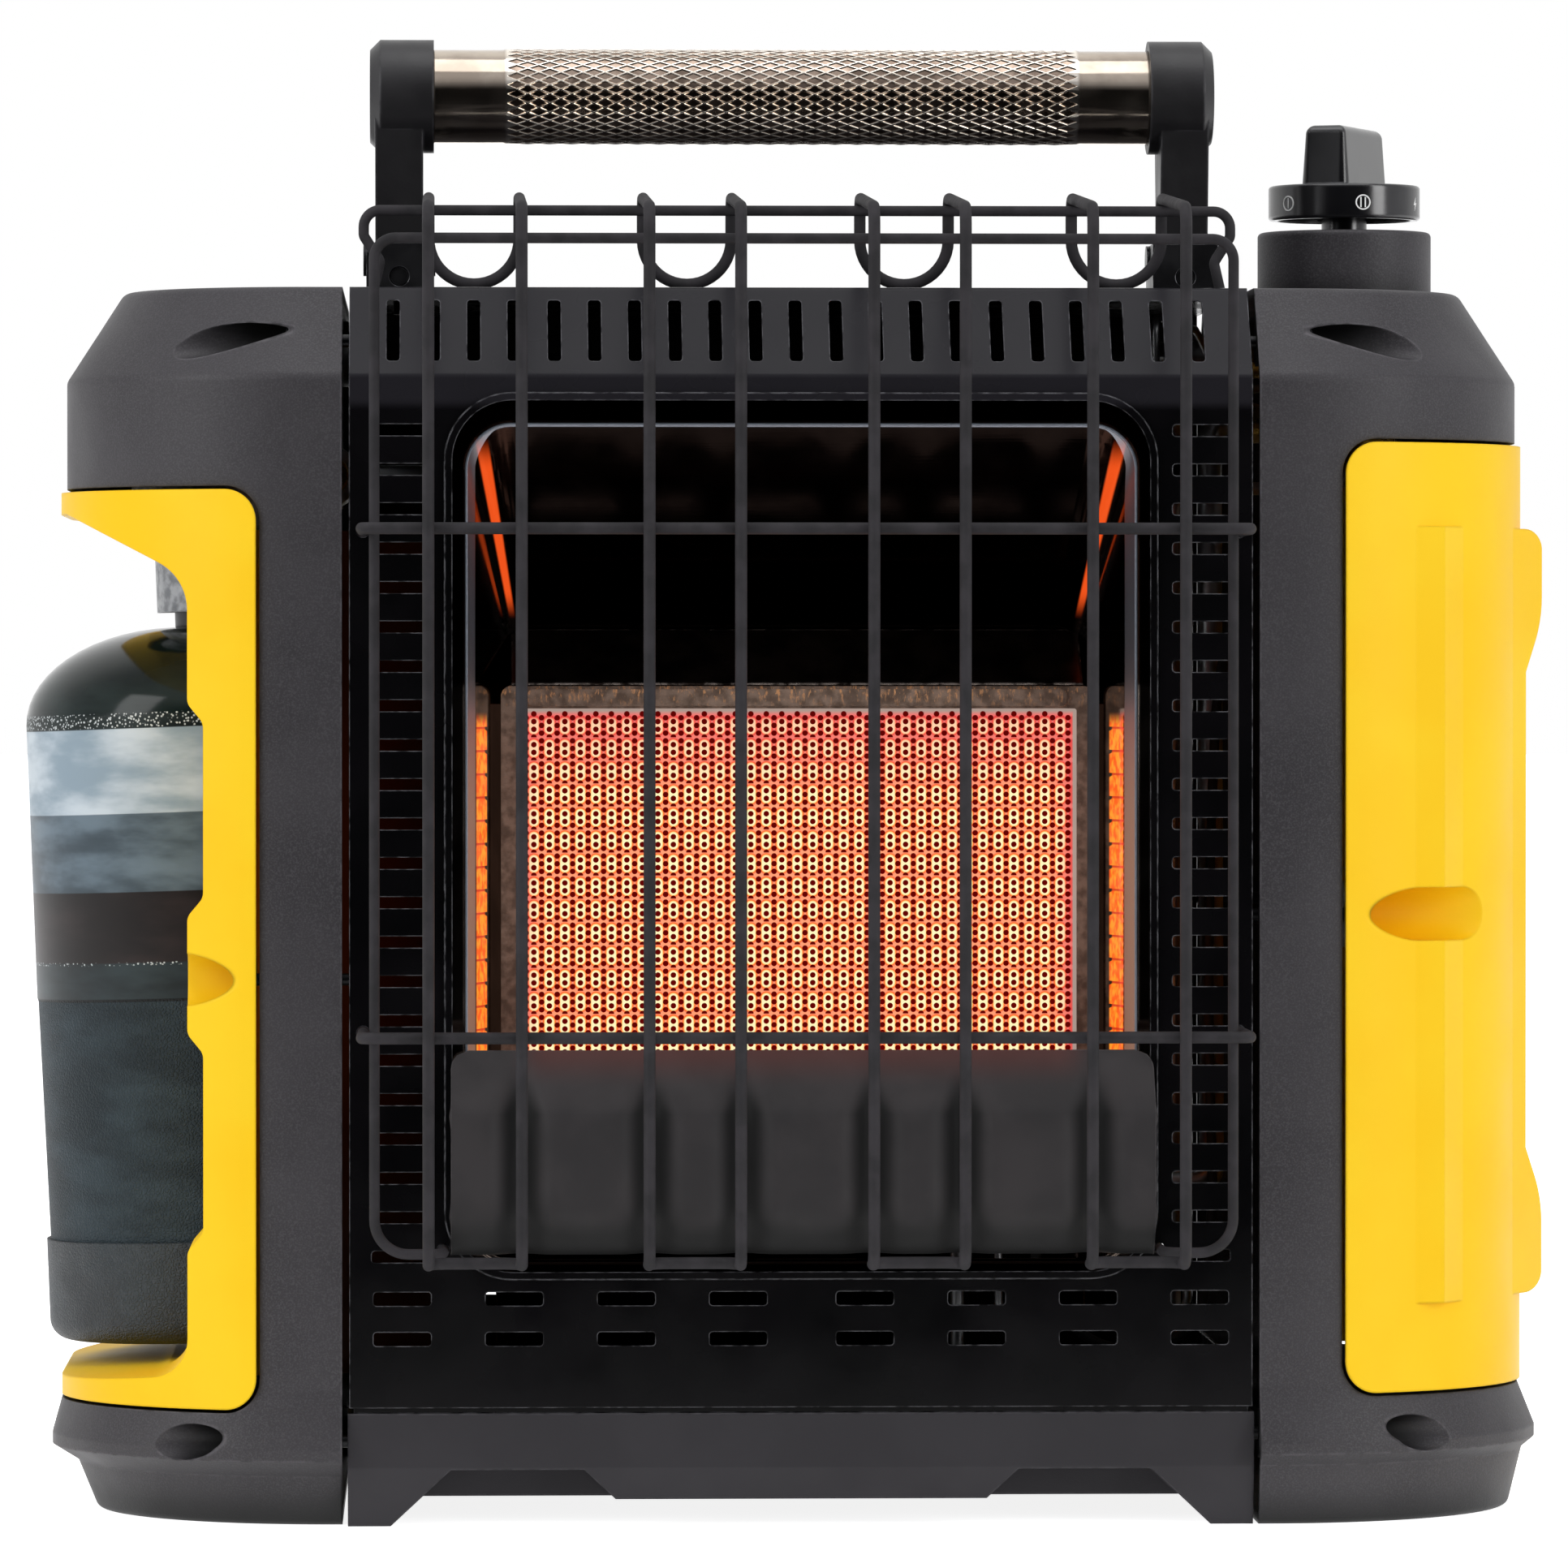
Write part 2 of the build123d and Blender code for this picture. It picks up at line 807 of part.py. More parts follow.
def housing_half():
    """Bent front sheet with its bevelled shoulder, half the top and narrow side returns."""
    half = housing_width / 2
    outside = side_prism(housing_outline(0.0), (-half, half))
    bends = edges_at(outside, shoulder_height) + edges_at(outside, body_height)
    middle = place(0, middle_depth - same_place, 0).Y
    outside = fillet([e for e in bends if e.length > half and e.center().Y < middle], bend_round)
    shell = outside - side_prism(housing_outline(sheet), (sheet - half, half - sheet))
    behind = block((-half, half), (panel_return, middle_depth + sheet), (0, body_height - sheet))
    return shell - behind


def slot(x, z, width, height):
    """Round-cornered slot through a front or rear sheet."""
    outline = Pos(x, z) * RectangleRounded(width, height, slot_round)
    return front_prism(outline, (-shoulder_inset, shoulder_inset + bend_round))


def top_slots():
    """Row of upright slots in the bevelled shoulder."""
    middle = (top_slot_low + top_slot_high) / 2
    height = top_slot_high - top_slot_low
    start = -(top_slot_count - 1) / 2
    places = [(start + i) * top_slot_pitch + top_slot_shift for i in range(top_slot_count)]
    return [slot(x, middle, top_slot_width, height) for x in places]


def side_slots():
    """Column of level slots beside the reflector, on both sides."""
    x = side_slot_inner + side_slot_length / 2
    heights = [side_slot_top - i * side_slot_pitch for i in range(side_slot_count)]
    places = [(side * x, z) for side in (-1, 1) for z in heights]
    return [slot(x, z, side_slot_length, side_slot_height) for x, z in places]


def low_slots():
    """Two rows of level slots under the reflector, in a left and a right group."""
    right = [low_slot_first + i * low_slot_pitch for i in range(low_slot_count)]
    columns = right + [-x for x in right]
    places = [(x, z) for x in columns for z in (low_slot_upper, low_slot_lower)]
    return [slot(x, z, low_slot_length, low_slot_height) for x, z in places]


def panel_screw_holes():
    """Holes in the side returns for the screws from the towers."""
    radius = screw_shank + screw_clearance
    places = ((top_well, 1), (hose_well, 1), (top_well, -1), (bay_well, -1))
    holes = []
    for well, side in places:
        across = (side * screw_reach, side * tower_inner)
        holes.append(crossways(well["depth"], well["height"], across, radius))
    return holes


def front_panel():
    """Front half of the housing, with the reflector's opening and its raised rim."""
    panel = housing_half()
    panel += front_prism(framed(rim, 0.0), (-rim_height, sheet))
    panel -= front_prism(framed(rim, -rim_width), (-2 * rim_height, 2 * sheet))
    panel -= top_slots() + side_slots() + low_slots() + panel_screw_holes() + guard_holes()
    return panel


def panel_hole(x, z, radius):
    """Level hole through the front sheet."""
    return rod(place(x, -2 * sheet, z), place(x, 2 * sheet, z), radius)


def top_bar_end(side):
    """Last straight stretch of the guard's top wire, run on through the housing's top."""
    start = place(side * top_bar_curl, top_bar_depth, top_bar_curl_height)
    end = place(side * top_bar_foot, top_bar_depth, body_height - sheet)
    return start, end + (end - start) / 2


def guard_holes():
    """Holes in the front panel for the guard's wire ends and the handle brackets' foot screws."""
    radius = wire_radius + guard_hole_gap
    holes = []
    thin = frame_wire_radius + guard_hole_gap
    for side in (-1, 1):
        holes += [panel_hole(side * crossbar_half, z, radius) for z in crossbar_heights]
        holes.append(panel_hole(side * side_frame_end, side_frame_bottom, thin))
        holes.append(rod(*top_bar_end(side), thin))
        holes.append(foot_screw(side * bracket_middle, screw_shank))
    return holes


def rear_panel():
    """Rear half of the housing, with vents in its side columns and below."""
    panel = housing_half()
    panel -= side_slots() + low_slots() + panel_screw_holes()
    return rear(panel)


def base_outline(arches):
    """Front-view outline of a base bar's front layer, with raised arches, or of its plain back layer."""
    half = tower_inner - tower_gap - bar_gap + sheet
    right = [(half, bar_top), (half, 0), (bar_foot_inner, 0)]
    if arches:
        right += [(bar_arch_to, bar_arch_height), (bar_arch_from, bar_arch_height)]
        right += [(bar_middle_half, bar_middle_height)]
    else:
        right += [(bar_foot_inner - bar_middle_height, bar_middle_height)]
    left = [(-x, z) for x, z in reversed(right)]
    return polygon(right + left)


def base_bar():
    """Hollow plastic bar between the towers, its lower front face drawn in."""
    bar = front_prism(base_outline(True), (0, bar_step_depth))
    bar += front_prism(base_outline(False), (bar_step_depth, bar_depth))
    draft = [(0, bar_crease), (-sheet, bar_crease), (-sheet, -sheet), (bar_draft, -sheet), (bar_draft, 0)]
    bar -= side_prism(draft, (-housing_width, housing_width))
    half = tower_inner - 2 * tower_gap - bar_wall
    depths = (bar_draft + bar_wall, bar_depth - bar_wall)
    bar -= block((-half, half), depths, (bar_arch_height + bar_wall, bar_top - bar_wall))
    radius = screw_shank + screw_clearance
    for side, well in ((-1, left_foot_well), (1, right_foot_well)):
        ends = (side * screw_reach, side * tower_outer)
        bar -= crossways(well["depth"], well["height"], ends, radius)
    return bar


def base_pan():
    """Sheet pan that the panels stand round, with bent-up edges."""
    half = housing_width / 2 - sheet
    depths = (sheet, body_depth - sheet)
    pan = block((-half, half), depths, (bar_top, bar_top + pan_flange))
    inner = (depths[0] + pan_sheet, depths[1] - pan_sheet)
    pan -= block((pan_sheet - half, half - pan_sheet), inner, (bar_top + pan_sheet, 2 * bar_top))
    room = tub_radius + tub_wall + barrel_gap
    return pan - post(-tub_axis, tub_depth, (0, body_height), room)


# Reflector and burner


def bowl_form(grow):
    """Tapered form of the reflector bowl, grown by a distance."""
    near = Plane(origin=place(0, sheet, 0), x_dir=(1, 0, 0), z_dir=(0, -1, 0))
    far = Plane(origin=place(0, sheet + bowl_depth + grow, 0), x_dir=(1, 0, 0), z_dir=(0, -1, 0))
    return loft([near * framed(mouth, grow), far * framed(bowl_back, grow)], ruled=True)


def reflector_bowl():
    """Pressed reflector with a flange behind the front panel and a rolled lip."""
    flange = front_prism(framed(rim, flange_reach), (sheet, sheet + bowl_sheet))
    bead = front_prism(framed(mouth, lip_bead), (0, sheet))
    bowl = bowl_form(bowl_sheet) + flange + bead - bowl_form(0.0)
    bowl -= front_prism(framed(mouth, 0.0), (-sheet, sheet))
    half = plenum_half + gasket
    room = rounded((-half, half), (frame_bottom, canopy_front_height), tile_corner)
    bowl -= front_prism(room, (tile_front_depth, bowl_depth + 4 * sheet))
    service_across = (service_hole_from, service_hole_to)
    service_depths = (service_hole_near, service_hole_far)
    return bowl - block(service_across, service_depths, (panel_bottom, service_hole_top))


def canopy():
    """Sloping plate from the bowl's back down to the burner's top edge."""
    low = (canopy_front_depth, canopy_front_height)
    high = (sheet + bowl_depth, bowl_back["top"] - canopy_sheet)
    outline = [low, high, (high[0], high[1] - canopy_sheet), (low[0], low[1] - canopy_sheet / 2)]
    half = bowl_back["half"]
    return side_prism(outline, (-half, half)) & bowl_form(-weld_gap)


def tile():
    """Ceramic burner tile."""
    depths = (tile_front_depth, tile_front_depth + tile_thick)
    return front_prism(rounded((-tile_half, tile_half), (tile_bottom, tile_top), tile_corner), depths)


def tile_gasket():
    """Fibre frame behind the tile's edge, pressed on the plenum."""
    depths = (tile_front_depth + tile_thick, tile_front_depth + tile_thick + gasket)
    outer = rounded((-tile_half, tile_half), (tile_bottom, tile_top), tile_corner)
    inner_half = plenum_half - plenum_sheet
    heights = (tile_bottom + plenum_sheet, tile_top - plenum_sheet)
    inner = rounded((-inner_half, inner_half), heights, tile_corner / 2)
    return front_prism(outer - inner, depths)


def burner_frame():
    """Steel frame that holds the tile's edge, with a bent strip along its top."""
    near = tile_front_depth - frame_sheet
    outer = rounded((-frame_half, frame_half), (frame_bottom, frame_top), strip_corner)
    inner_half = tile_half - frame_lip
    heights = (tile_bottom + frame_lip, tile_top - frame_lip)
    inner = rounded((-inner_half, inner_half), heights, tile_corner)
    frame = front_prism(outer - inner, (near, tile_front_depth))
    heights = (frame_top - strip_height, frame_top - bowl_sheet)
    strip = rounded((-strip_half, strip_half), heights, strip_corner / 2)
    return frame + front_prism(strip, (near - frame_sheet, near))


def plenum():
    """Box behind the tile where gas and air mix."""
    near = tile_front_depth + tile_thick + gasket
    heights = (tile_bottom, tile_top)
    box = block((-plenum_half, plenum_half), (near, near + plenum_depth), heights)
    inner = plenum_half - plenum_sheet
    room = (heights[0] + plenum_sheet, heights[1] - plenum_sheet)
    box -= block((-inner, inner), (near - sheet, near + plenum_depth - plenum_sheet), room)
    return box - post(venturi_end, venturi_depth(), (venturi_height, tile_bottom + sheet), venturi_radius)


def venturi_depth():
    """Depth of the mixing tube, in the middle of the plenum."""
    return tile_front_depth + tile_thick + gasket + plenum_depth / 2


def venturi():
    """Mixing tube: bell mouth, level run and a bend up into the plenum."""
    depth = venturi_depth()
    start = place(venturi_start, depth, venturi_height)
    turn = place(venturi_end, depth, venturi_height)
    top = place(venturi_end, depth, tile_bottom + plenum_sheet + sheet)
    outer = bent_bar([start, turn, top], venturi_bend, venturi_radius)
    inner = bent_bar([start, turn, top], venturi_bend, venturi_bore)
    plane = Plane(origin=start, z_dir=(1, 0, 0))
    mouth_end = Plane(origin=start + Vector(venturi_mouth_length, 0, 0), z_dir=(1, 0, 0))
    wall = venturi_radius - venturi_bore
    bell = loft([plane * Circle(venturi_radius), mouth_end * Circle(venturi_mouth)])
    room = loft([plane * Circle(venturi_bore), mouth_end * Circle(venturi_mouth - wall)])
    return outer - inner + (bell - room)


def gas_jet():
    """Brass jet aimed into the bell mouth, held by a foot on the pan."""
    depth = venturi_depth()
    start = venturi_start + venturi_mouth_length - jet_gap
    jet = crossways(depth, venturi_height, (start, start + jet_length), jet_radius)
    x = start + jet_length
    reach = 2 * jet_radius
    heights = (bar_top + pan_sheet, venturi_height + reach)
    foot = block((x, x + jet_bracket), (depth - reach, depth + reach), heights)
    bore = crossways(depth, venturi_height, (start - sheet, x + 2 * jet_bracket), gas_tube_radius / 3)
    return jet + foot - bore


def deflector():
    """Bent plate in front of the burner's lower edge, with two tabs into the reflector."""
    t = deflector_sheet
    front = deflector_front_depth
    outer = [
        (deflector_top_depth, deflector_top),
        (front, deflector_crease),
        (front, deflector_turn),
        (front / 2, deflector_bottom),
        (-rim_height - t, deflector_bottom),
    ]
    inner = [
        (-rim_height - t, deflector_bottom + t),
        (front / 2 + t / 2, deflector_bottom + t),
        (front + t, deflector_turn + t / 2),
        (front + t, deflector_crease - t / 2),
        (deflector_top_depth, deflector_top - t - t / 2),
    ]
    plate = side_prism(outer + inner, (-deflector_half, deflector_half))
    for side in (-1, 1):
        across = (side * deflector_tab_from, side * deflector_tab_to)
        depths = (-rim_height - t, deflector_tab_reach)
        plate += block(across, depths, (deflector_bottom, deflector_bottom + t))
    return plate


# Guard


def hairpin(xs, side):
    """Closed wire with two upright legs in front and a round loop that stands on the housing's top."""
    outer, inner = (side * x for x in xs)
    loop = abs(outer - inner) / 2 - weld_gap
    front = -guard_standoff
    low = hairpin_bottom + wire_radius
    points = [
        place(outer, hairpin_back_depth, low),
        place(outer, front, low),
        place(outer, front, hairpin_front_top),
        place(outer, hairpin_loop_depth, hairpin_rear_top),
        place(outer, hairpin_loop_depth, hairpin_loop_low),
        place(inner, hairpin_loop_depth, hairpin_loop_low),
        place(inner, hairpin_loop_depth, hairpin_rear_top),
        place(inner, front, hairpin_front_top),
        place(inner, front, low),
        place(inner, hairpin_back_depth, low),
    ]
    bends = [hairpin_bend] * 4 + [loop] * 2 + [hairpin_bend] * 4
    return bent_bar(points, bends, wire_radius, closed=True)


def guard_hairpins():
    """The four upright wire loops."""
    return group(*[hairpin(xs, side) for xs in (hairpin_outer, hairpin_inner) for side in (-1, 1)])


def crossbar(z):
    """Level wire behind the upright ones, its ends bent back into the front panel."""
    depth = 2 * wire_radius + weld_gap - guard_standoff
    half = crossbar_half
    points = [place(-half, 0, z), place(-half, depth, z), place(half, depth, z), place(half, 0, z)]
    return bent_bar(points, crossbar_bend, wire_radius)


def guard_crossbars():
    """Upper and lower level wires."""
    return group(*[crossbar(z) for z in crossbar_heights])


def guard_side_frame():
    """Wire round the sides and top of the guard, its ends bent into the front panel."""
    half = side_frame_half
    depth = side_frame_depth
    low = side_frame_bottom
    end = side_frame_end
    points = [
        place(-end, 0, low),
        place(-end, depth, low),
        place(-half, depth, low),
        place(-half, depth, side_frame_top),
        place(half, depth, side_frame_top),
        place(half, depth, low),
        place(end, depth, low),
        place(end, 0, low),
    ]
    right = [hairpin_bend, side_frame_corner, hairpin_bend]
    return bent_bar(points, right + right, frame_wire_radius)


def guard_top_bar():
    """Level wire under the hairpins' tops, its ends curled down into the housing's top."""
    share = (top_bar_depth + guard_standoff) / (hairpin_loop_depth + guard_standoff)
    hairpin_height = hairpin_front_top + share * (hairpin_rear_top - hairpin_front_top)
    z = hairpin_height - wire_radius - frame_wire_radius - weld_gap
    right = [
        (top_bar_half, z),
        (top_bar_half, (z + top_bar_curl_height) / 2),
        (top_bar_curl, top_bar_curl_height),
        (top_bar_foot, body_height - sheet),
    ]
    left = [(-x, height) for x, height in reversed(right)]
    points = [place(x, top_bar_depth, height) for x, height in left + right]
    low = top_bar_bend / 2
    bends = [low, low, top_bar_bend, top_bar_bend, low, low]
    return bent_bar(points, bends, frame_wire_radius)


# Cylinder, regulator and swivel


def leaned(part):
    """A piece turned by the cylinder's lean about the swivel."""
    pivot = place(-swivel_across, tub_depth, swivel_height)
    return Pos(pivot) * Rot(0, -lean, 0) * Pos(-pivot) * part


def turned(points):
    """Solid turned about the cylinder's axis from (radius, height) points."""
    plane = Plane(origin=place(-cylinder_across, tub_depth, 0), x_dir=(1, 0, 0), z_dir=(0, -1, 0))
    axis = Axis(place(-cylinder_across, tub_depth, 0), (0, 0, 1))
    return revolve(plane * polygon(points), axis, 360)


def cylinder_body():
    """Thin steel bottle with a domed top."""
    r = cylinder_radius
    rise = cylinder_top - cylinder_shoulder
    flat = cylinder_neck_radius
    dome = []
    for i in range(dome_steps + 1):
        turn = radians(90 * i / dome_steps)
        dome.append((flat + (r - flat) * cos(turn), cylinder_shoulder + rise * sin(turn)))
    outer = [(0, cup_top), (r, cup_top)] + dome + [(0, cylinder_top)]
    scale = (r - cylinder_wall) / r
    inner = [(x * scale, z - cylinder_wall if z > cylinder_shoulder else z) for x, z in dome]
    room = [(0, cup_top + cylinder_wall), (r * scale, cup_top + cylinder_wall)] + inner
    room += [(0, cylinder_top - cylinder_wall)]
    return leaned(turned(outer) - turned(room))


def cylinder_foot():
    """Cup that the bottle stands in, a little wider than the bottle."""
    r = cylinder_radius
    low = cylinder_bottom
    cup = post(-cylinder_across, tub_depth, (low, cup_top), r)
    cup = fillet(edges_at(cup, low), cup_bottom_round)
    room = (low + cylinder_wall + cup_bottom_round, cup_top)
    return leaned(cup - post(-cylinder_across, tub_depth, room, r - cup_bottom_round))


def cylinder_neck():
    """Outlet of the bottle: a straight waist on the dome and the threaded head."""
    floor = cylinder_top + neck_floor
    outline = [
        (0, cylinder_top),
        (cylinder_waist, cylinder_top),
        (cylinder_waist, neck_thread_bottom),
        (cylinder_neck_radius, neck_thread_bottom),
        (cylinder_neck_radius, cylinder_neck_top),
        (cylinder_neck_bore, cylinder_neck_top),
        (cylinder_neck_bore, floor),
        (0, floor),
    ]
    return leaned(turned(outline))


def regulator():
    """Die-cast regulator: cylinder fitting below, body above and a barrel round the swivel tube."""
    bore = cylinder_neck_radius + neck_clearance
    seat = cylinder_neck_top + barrel_gap
    outline = [
        (bore, fitting_bottom),
        (fitting_radius, fitting_bottom),
        (fitting_radius, fitting_top),
        (regulator_radius, fitting_top + sheet),
        (regulator_radius, regulator_top),
        (regulator_cap_radius, regulator_top),
        (regulator_cap_radius, regulator_top + regulator_cap_height),
        (0, regulator_top + regulator_cap_height),
        (0, seat),
        (bore, seat),
    ]
    body = turned(outline)
    half = swivel_span / 2 - swivel_ear_sheet - barrel_gap
    arm_depths = (tub_depth - regulator_arm / 2, tub_depth + regulator_arm / 2)
    arm_heights = (regulator_arm_low, swivel_height + swivel_barrel - sheet)
    arm = block((-cylinder_across, -swivel_across), arm_depths, arm_heights)
    whole = body + arm + pivot_bar(half, swivel_barrel)
    return leaned(whole) - pivot_bar(half + sheet, swivel_radius + swivel_bore_gap)


def pivot_bar(half, radius):
    """Round bar along the regulator's pivot, to both sides of the cylinder's depth."""
    ends = [place(-swivel_across, tub_depth + side * half, swivel_height) for side in (-1, 1)]
    return rod(*ends, radius)


def swivel_bracket():
    """Bracket under the left tower's top with an ear at each end of the regulator's barrel."""
    x = -swivel_across
    top = body_height - tower_wall
    half = swivel_ear_width / 2
    across = (x - half, min(x + half, -tower_inner - sheet))
    low = swivel_height - swivel_barrel
    depths = (swivel_front, swivel_back)
    bracket = block((x - swivel_flange, across[1]), depths, (top - swivel_ear_sheet, top))
    for near in (swivel_front, swivel_back - swivel_ear_sheet):
        bracket += block(across, (near, near + swivel_ear_sheet), (low, top))
    return bracket - swivel_tube()


def swivel_tube():
    """Tube that the regulator turns on, with a tail behind its bracket for the feed tube."""
    start = place(-swivel_across, swivel_front - 2 * sheet, swivel_height)
    end = place(-swivel_across, swivel_back + swivel_pin_tail, swivel_height)
    return rod(start, end, swivel_radius)


def feed_tube():
    """Tube from the swivel's end, across behind the burner, to the valve's inlet."""
    tail = swivel_back + swivel_pin_tail
    back = tail + feed_tail
    low = swivel_height
    high = valve_inlet_height
    inlet = knob_across - valve_radius - valve_port_length
    points = [
        place(-swivel_across, tail, low),
        place(-swivel_across, back, low),
        place(-housing_width / 5, back, low),
        place(housing_width / 4, back - feed_radius, high - feed_radius),
        place(housing_width / 2 - 3 * feed_radius, knob_depth, high),
        place(inlet, knob_depth, high),
    ]
    return bent_bar(points, [feed_bend, 2 * feed_bend, 2 * feed_bend, feed_bend / 2], feed_radius)


# Valve, knob and plunger


def valve_body():
    """Gas valve under the right tower's top, with inlet and outlet ports towards the housing."""
    bracket_top = body_height - tower_wall
    body = post(knob_across, knob_depth, (valve_bottom, bracket_top - bracket_sheet), valve_radius)
    body += post(knob_across, knob_depth, (bracket_top - bracket_sheet, valve_neck_top), valve_neck_radius)
    for z in (valve_inlet_height, valve_outlet_height):
        near = knob_across - valve_radius - valve_port_length
        body += crossways(knob_depth, z, (near, knob_across), valve_port_radius)
    bore = (stem_bottom - valve_bore_depth, 2 * body_height)
    return body - post(knob_across, knob_depth, bore, stem_radius + stem_gap)


def valve_bracket():
    """Plate that hangs the valve from the tower's top."""
    top = body_height - tower_wall
    low = top - bracket_sheet
    across = (knob_across - bracket_half, knob_across + bracket_half)
    plate = block(across, (knob_depth - bracket_half, knob_depth + bracket_half), (low, top))
    hole = post(knob_across, knob_depth, (low - sheet, top + sheet), valve_neck_radius)
    return plate - hole


def piezo_depth():
    """Depth of the spark generator, beside the valve."""
    return knob_depth + valve_radius + piezo_radius


def piezo_low():
    """Height of the spark generator's lower end."""
    return body_height - tower_wall - bracket_sheet - piezo_length


def piezo():
    """Spark generator under the valve's plate."""
    low = piezo_low()
    return post(knob_across, piezo_depth(), (low, low + piezo_length), piezo_radius)


def knob_stem():
    """Valve stem, fixed in the knob."""
    return post(knob_across, knob_depth, (stem_bottom, stem_top), stem_radius)


def knob():
    """Knob with a marked ring, a hub and a bar grip."""
    ring = post(knob_across, knob_depth, (ring_bottom, ring_top), ring_radius)
    ring = fillet(edges_at(ring, ring_top) + edges_at(ring, ring_bottom), ring_round)
    ring -= post(knob_across, knob_depth, (ring_bottom, ring_top - ring_web), ring_recess)
    hub = post(knob_across, knob_depth, (hub_bottom, ring_top - ring_web), hub_radius)
    plan = Pos(place(knob_across, knob_depth, ring_top)) * Rot(0, 0, grip_turn)
    foot = plan * RectangleRounded(grip_thick, grip_long, grip_corner)
    grip = extrude(foot, amount=grip_top - ring_top, taper=grip_taper)
    grip = fillet(edges_at(grip, grip_top), grip_round)
    return ring + hub + grip - post(knob_across, knob_depth, (stem_bottom, stem_top), stem_radius)


def plunger():
    """Thrust washer that the hub pushes down on the spring."""
    top = hub_bottom - plunger_gap
    washer = post(knob_across, knob_depth, (top - plunger_thick, top), plunger_radius)
    return washer - post(knob_across, knob_depth, (0, 2 * top), stem_radius + stem_gap)


def knob_spring():
    """Coil spring between the valve's neck and the thrust washer."""
    low = valve_neck_top + spring_wire
    high = hub_bottom - plunger_gap - plunger_thick - spring_wire
    coil = Helix(pitch=(high - low) / spring_turns, height=high - low, radius=spring_coil)
    coil = Pos(place(knob_across, knob_depth, low)) * coil
    section = Plane(origin=coil @ 0, z_dir=coil % 0) * Circle(spring_wire)
    return sweep(section, path=coil, is_frenet=True)


# Handle


def handle_tube():
    """Grip tube between the two arms."""
    half = cap_inner + handle_socket
    tube = crossways(handle_depth, handle_height, (-half, half), handle_radius)
    return tube - crossways(handle_depth, handle_height, (-half, half), handle_radius - handle_wall)


def handle_arm():
    """Right arm with the cap that holds the tube's end and an eye for the pin."""
    low = (handle_depth, hinge_height)
    cap = crossways(handle_depth, handle_height, (cap_inner, cap_outer), cap_radius)
    outer = [e for e in cap.edges() if abs(e.center().X - cap_outer) < same_place]
    cap = chamfer(outer, cap_chamfer)
    foot = arm_foot_radius
    lift = foot * (arm_head_half - foot) / (handle_height - hinge_height)
    outline = [
        (low[0] - foot, low[1] + lift),
        (low[0] - arm_head_half, handle_height),
        (low[0] + arm_head_half, handle_height),
        (low[0] + foot, low[1] + lift),
    ]
    arm = side_prism(outline, (arm_inner, arm_outer)) + crossways(*low, (arm_inner, arm_outer), foot)
    arm += cap
    socket = (cap_inner - sheet, cap_inner + handle_socket)
    arm -= crossways(handle_depth, handle_height, socket, handle_radius)
    return arm - crossways(*low, (arm_inner - sheet, arm_outer + sheet), hinge_pin + hinge_gap)


def cheek_places():
    """Inner and outer faces of a handle bracket's two cheeks."""
    inner = arm_inner - cheek_gap
    outer = arm_outer + cheek_gap
    return (inner - cheek_sheet, inner), (outer, outer + cheek_sheet)


def handle_bracket():
    """Right bracket: foot plate, two cheeks and a front wall that stops the arm upright."""
    (left, _), (_, right) = cheek_places()
    low = body_height
    top = cheek_top
    back = handle_depth + cheek_half_depth
    bracket = block((left, right), (stop_depth, back + foot_plate_tail), (low, low + foot_plate))
    for cheek in cheek_places():
        bracket += block(cheek, (stop_depth, back), (low, top))
    bracket += block((left, right), (stop_depth, stop_depth + stop_wall), (low, top))
    bracket -= crossways(handle_depth, hinge_height, (left - sheet, right + sheet), hinge_pin)
    x = bracket_middle
    near = place(x, stop_depth - sheet, stop_screw_height)
    seat = place(x, stop_depth + stop_counterbore, stop_screw_height)
    bracket -= rod(near, seat, stop_hole)
    bracket -= rod(seat, place(x, stop_depth + 2 * stop_wall, stop_screw_height), screw_shank)
    return bracket - foot_screw(x, screw_shank)


def foot_screw(x, radius):
    """Upright shank through a bracket's foot plate and the housing's top."""
    depth = handle_depth + cheek_half_depth + foot_plate_tail / 2
    return post(x, depth, (body_height - 4 * sheet, body_height + foot_plate), radius)


def bracket_screws():
    """Stop screw and foot screw of the right bracket."""
    x = bracket_middle
    seat = place(x, stop_depth + stop_counterbore, stop_screw_height)
    head = rod(seat - Vector(0, stop_counterbore / 2, 0), seat, stop_hole - screw_clearance)
    shank = rod(seat, place(x, stop_depth + stop_wall + sheet, stop_screw_height), screw_shank)
    depth = handle_depth + cheek_half_depth + foot_plate_tail / 2
    low = body_height + foot_plate
    foot = post(x, depth, (low, low + screw_head_length), screw_head) + foot_screw(x, screw_shank)
    return group(head + shank, foot)


def hinge_pin_solid():
    """Right handle pin with a head at each end."""
    (left, _), (_, right) = cheek_places()
    pin = crossways(handle_depth, hinge_height, (left, right), hinge_pin)
    for x, out in ((left, -1), (right, 1)):
        across = sorted((x, x + out * hinge_head_thick))
        pin += crossways(handle_depth, hinge_height, across, hinge_head)
    return pin


# Tip-over switch


def switch_case():
    """Open box on the pan with a pin for the weight."""
    low = bar_top + pan_sheet
    across = (switch_across - switch_length / 2, switch_across + switch_length / 2)
    depths = (switch_depth - switch_width / 2, switch_depth + switch_width / 2)
    case = block(across, depths, (low, low + switch_height))
    inner = (depths[0] + switch_sheet, depths[1] - switch_sheet)
    room = (across[0] - sheet, across[1] + sheet)
    case -= block(room, inner, (low + switch_sheet, low + 2 * switch_height))
    return case + switch_pin_bar(switch_pin, depths)


def switch_pin_height():
    """Height of the tip-over weight's pivot."""
    return bar_top + pan_sheet + switch_height - switch_pin_drop


def switch_pin_bar(radius, depths):
    """Pivot pin along Y."""
    z = switch_pin_height()
    return rod(place(switch_across, depths[0], z), place(switch_across, depths[1], z), radius)


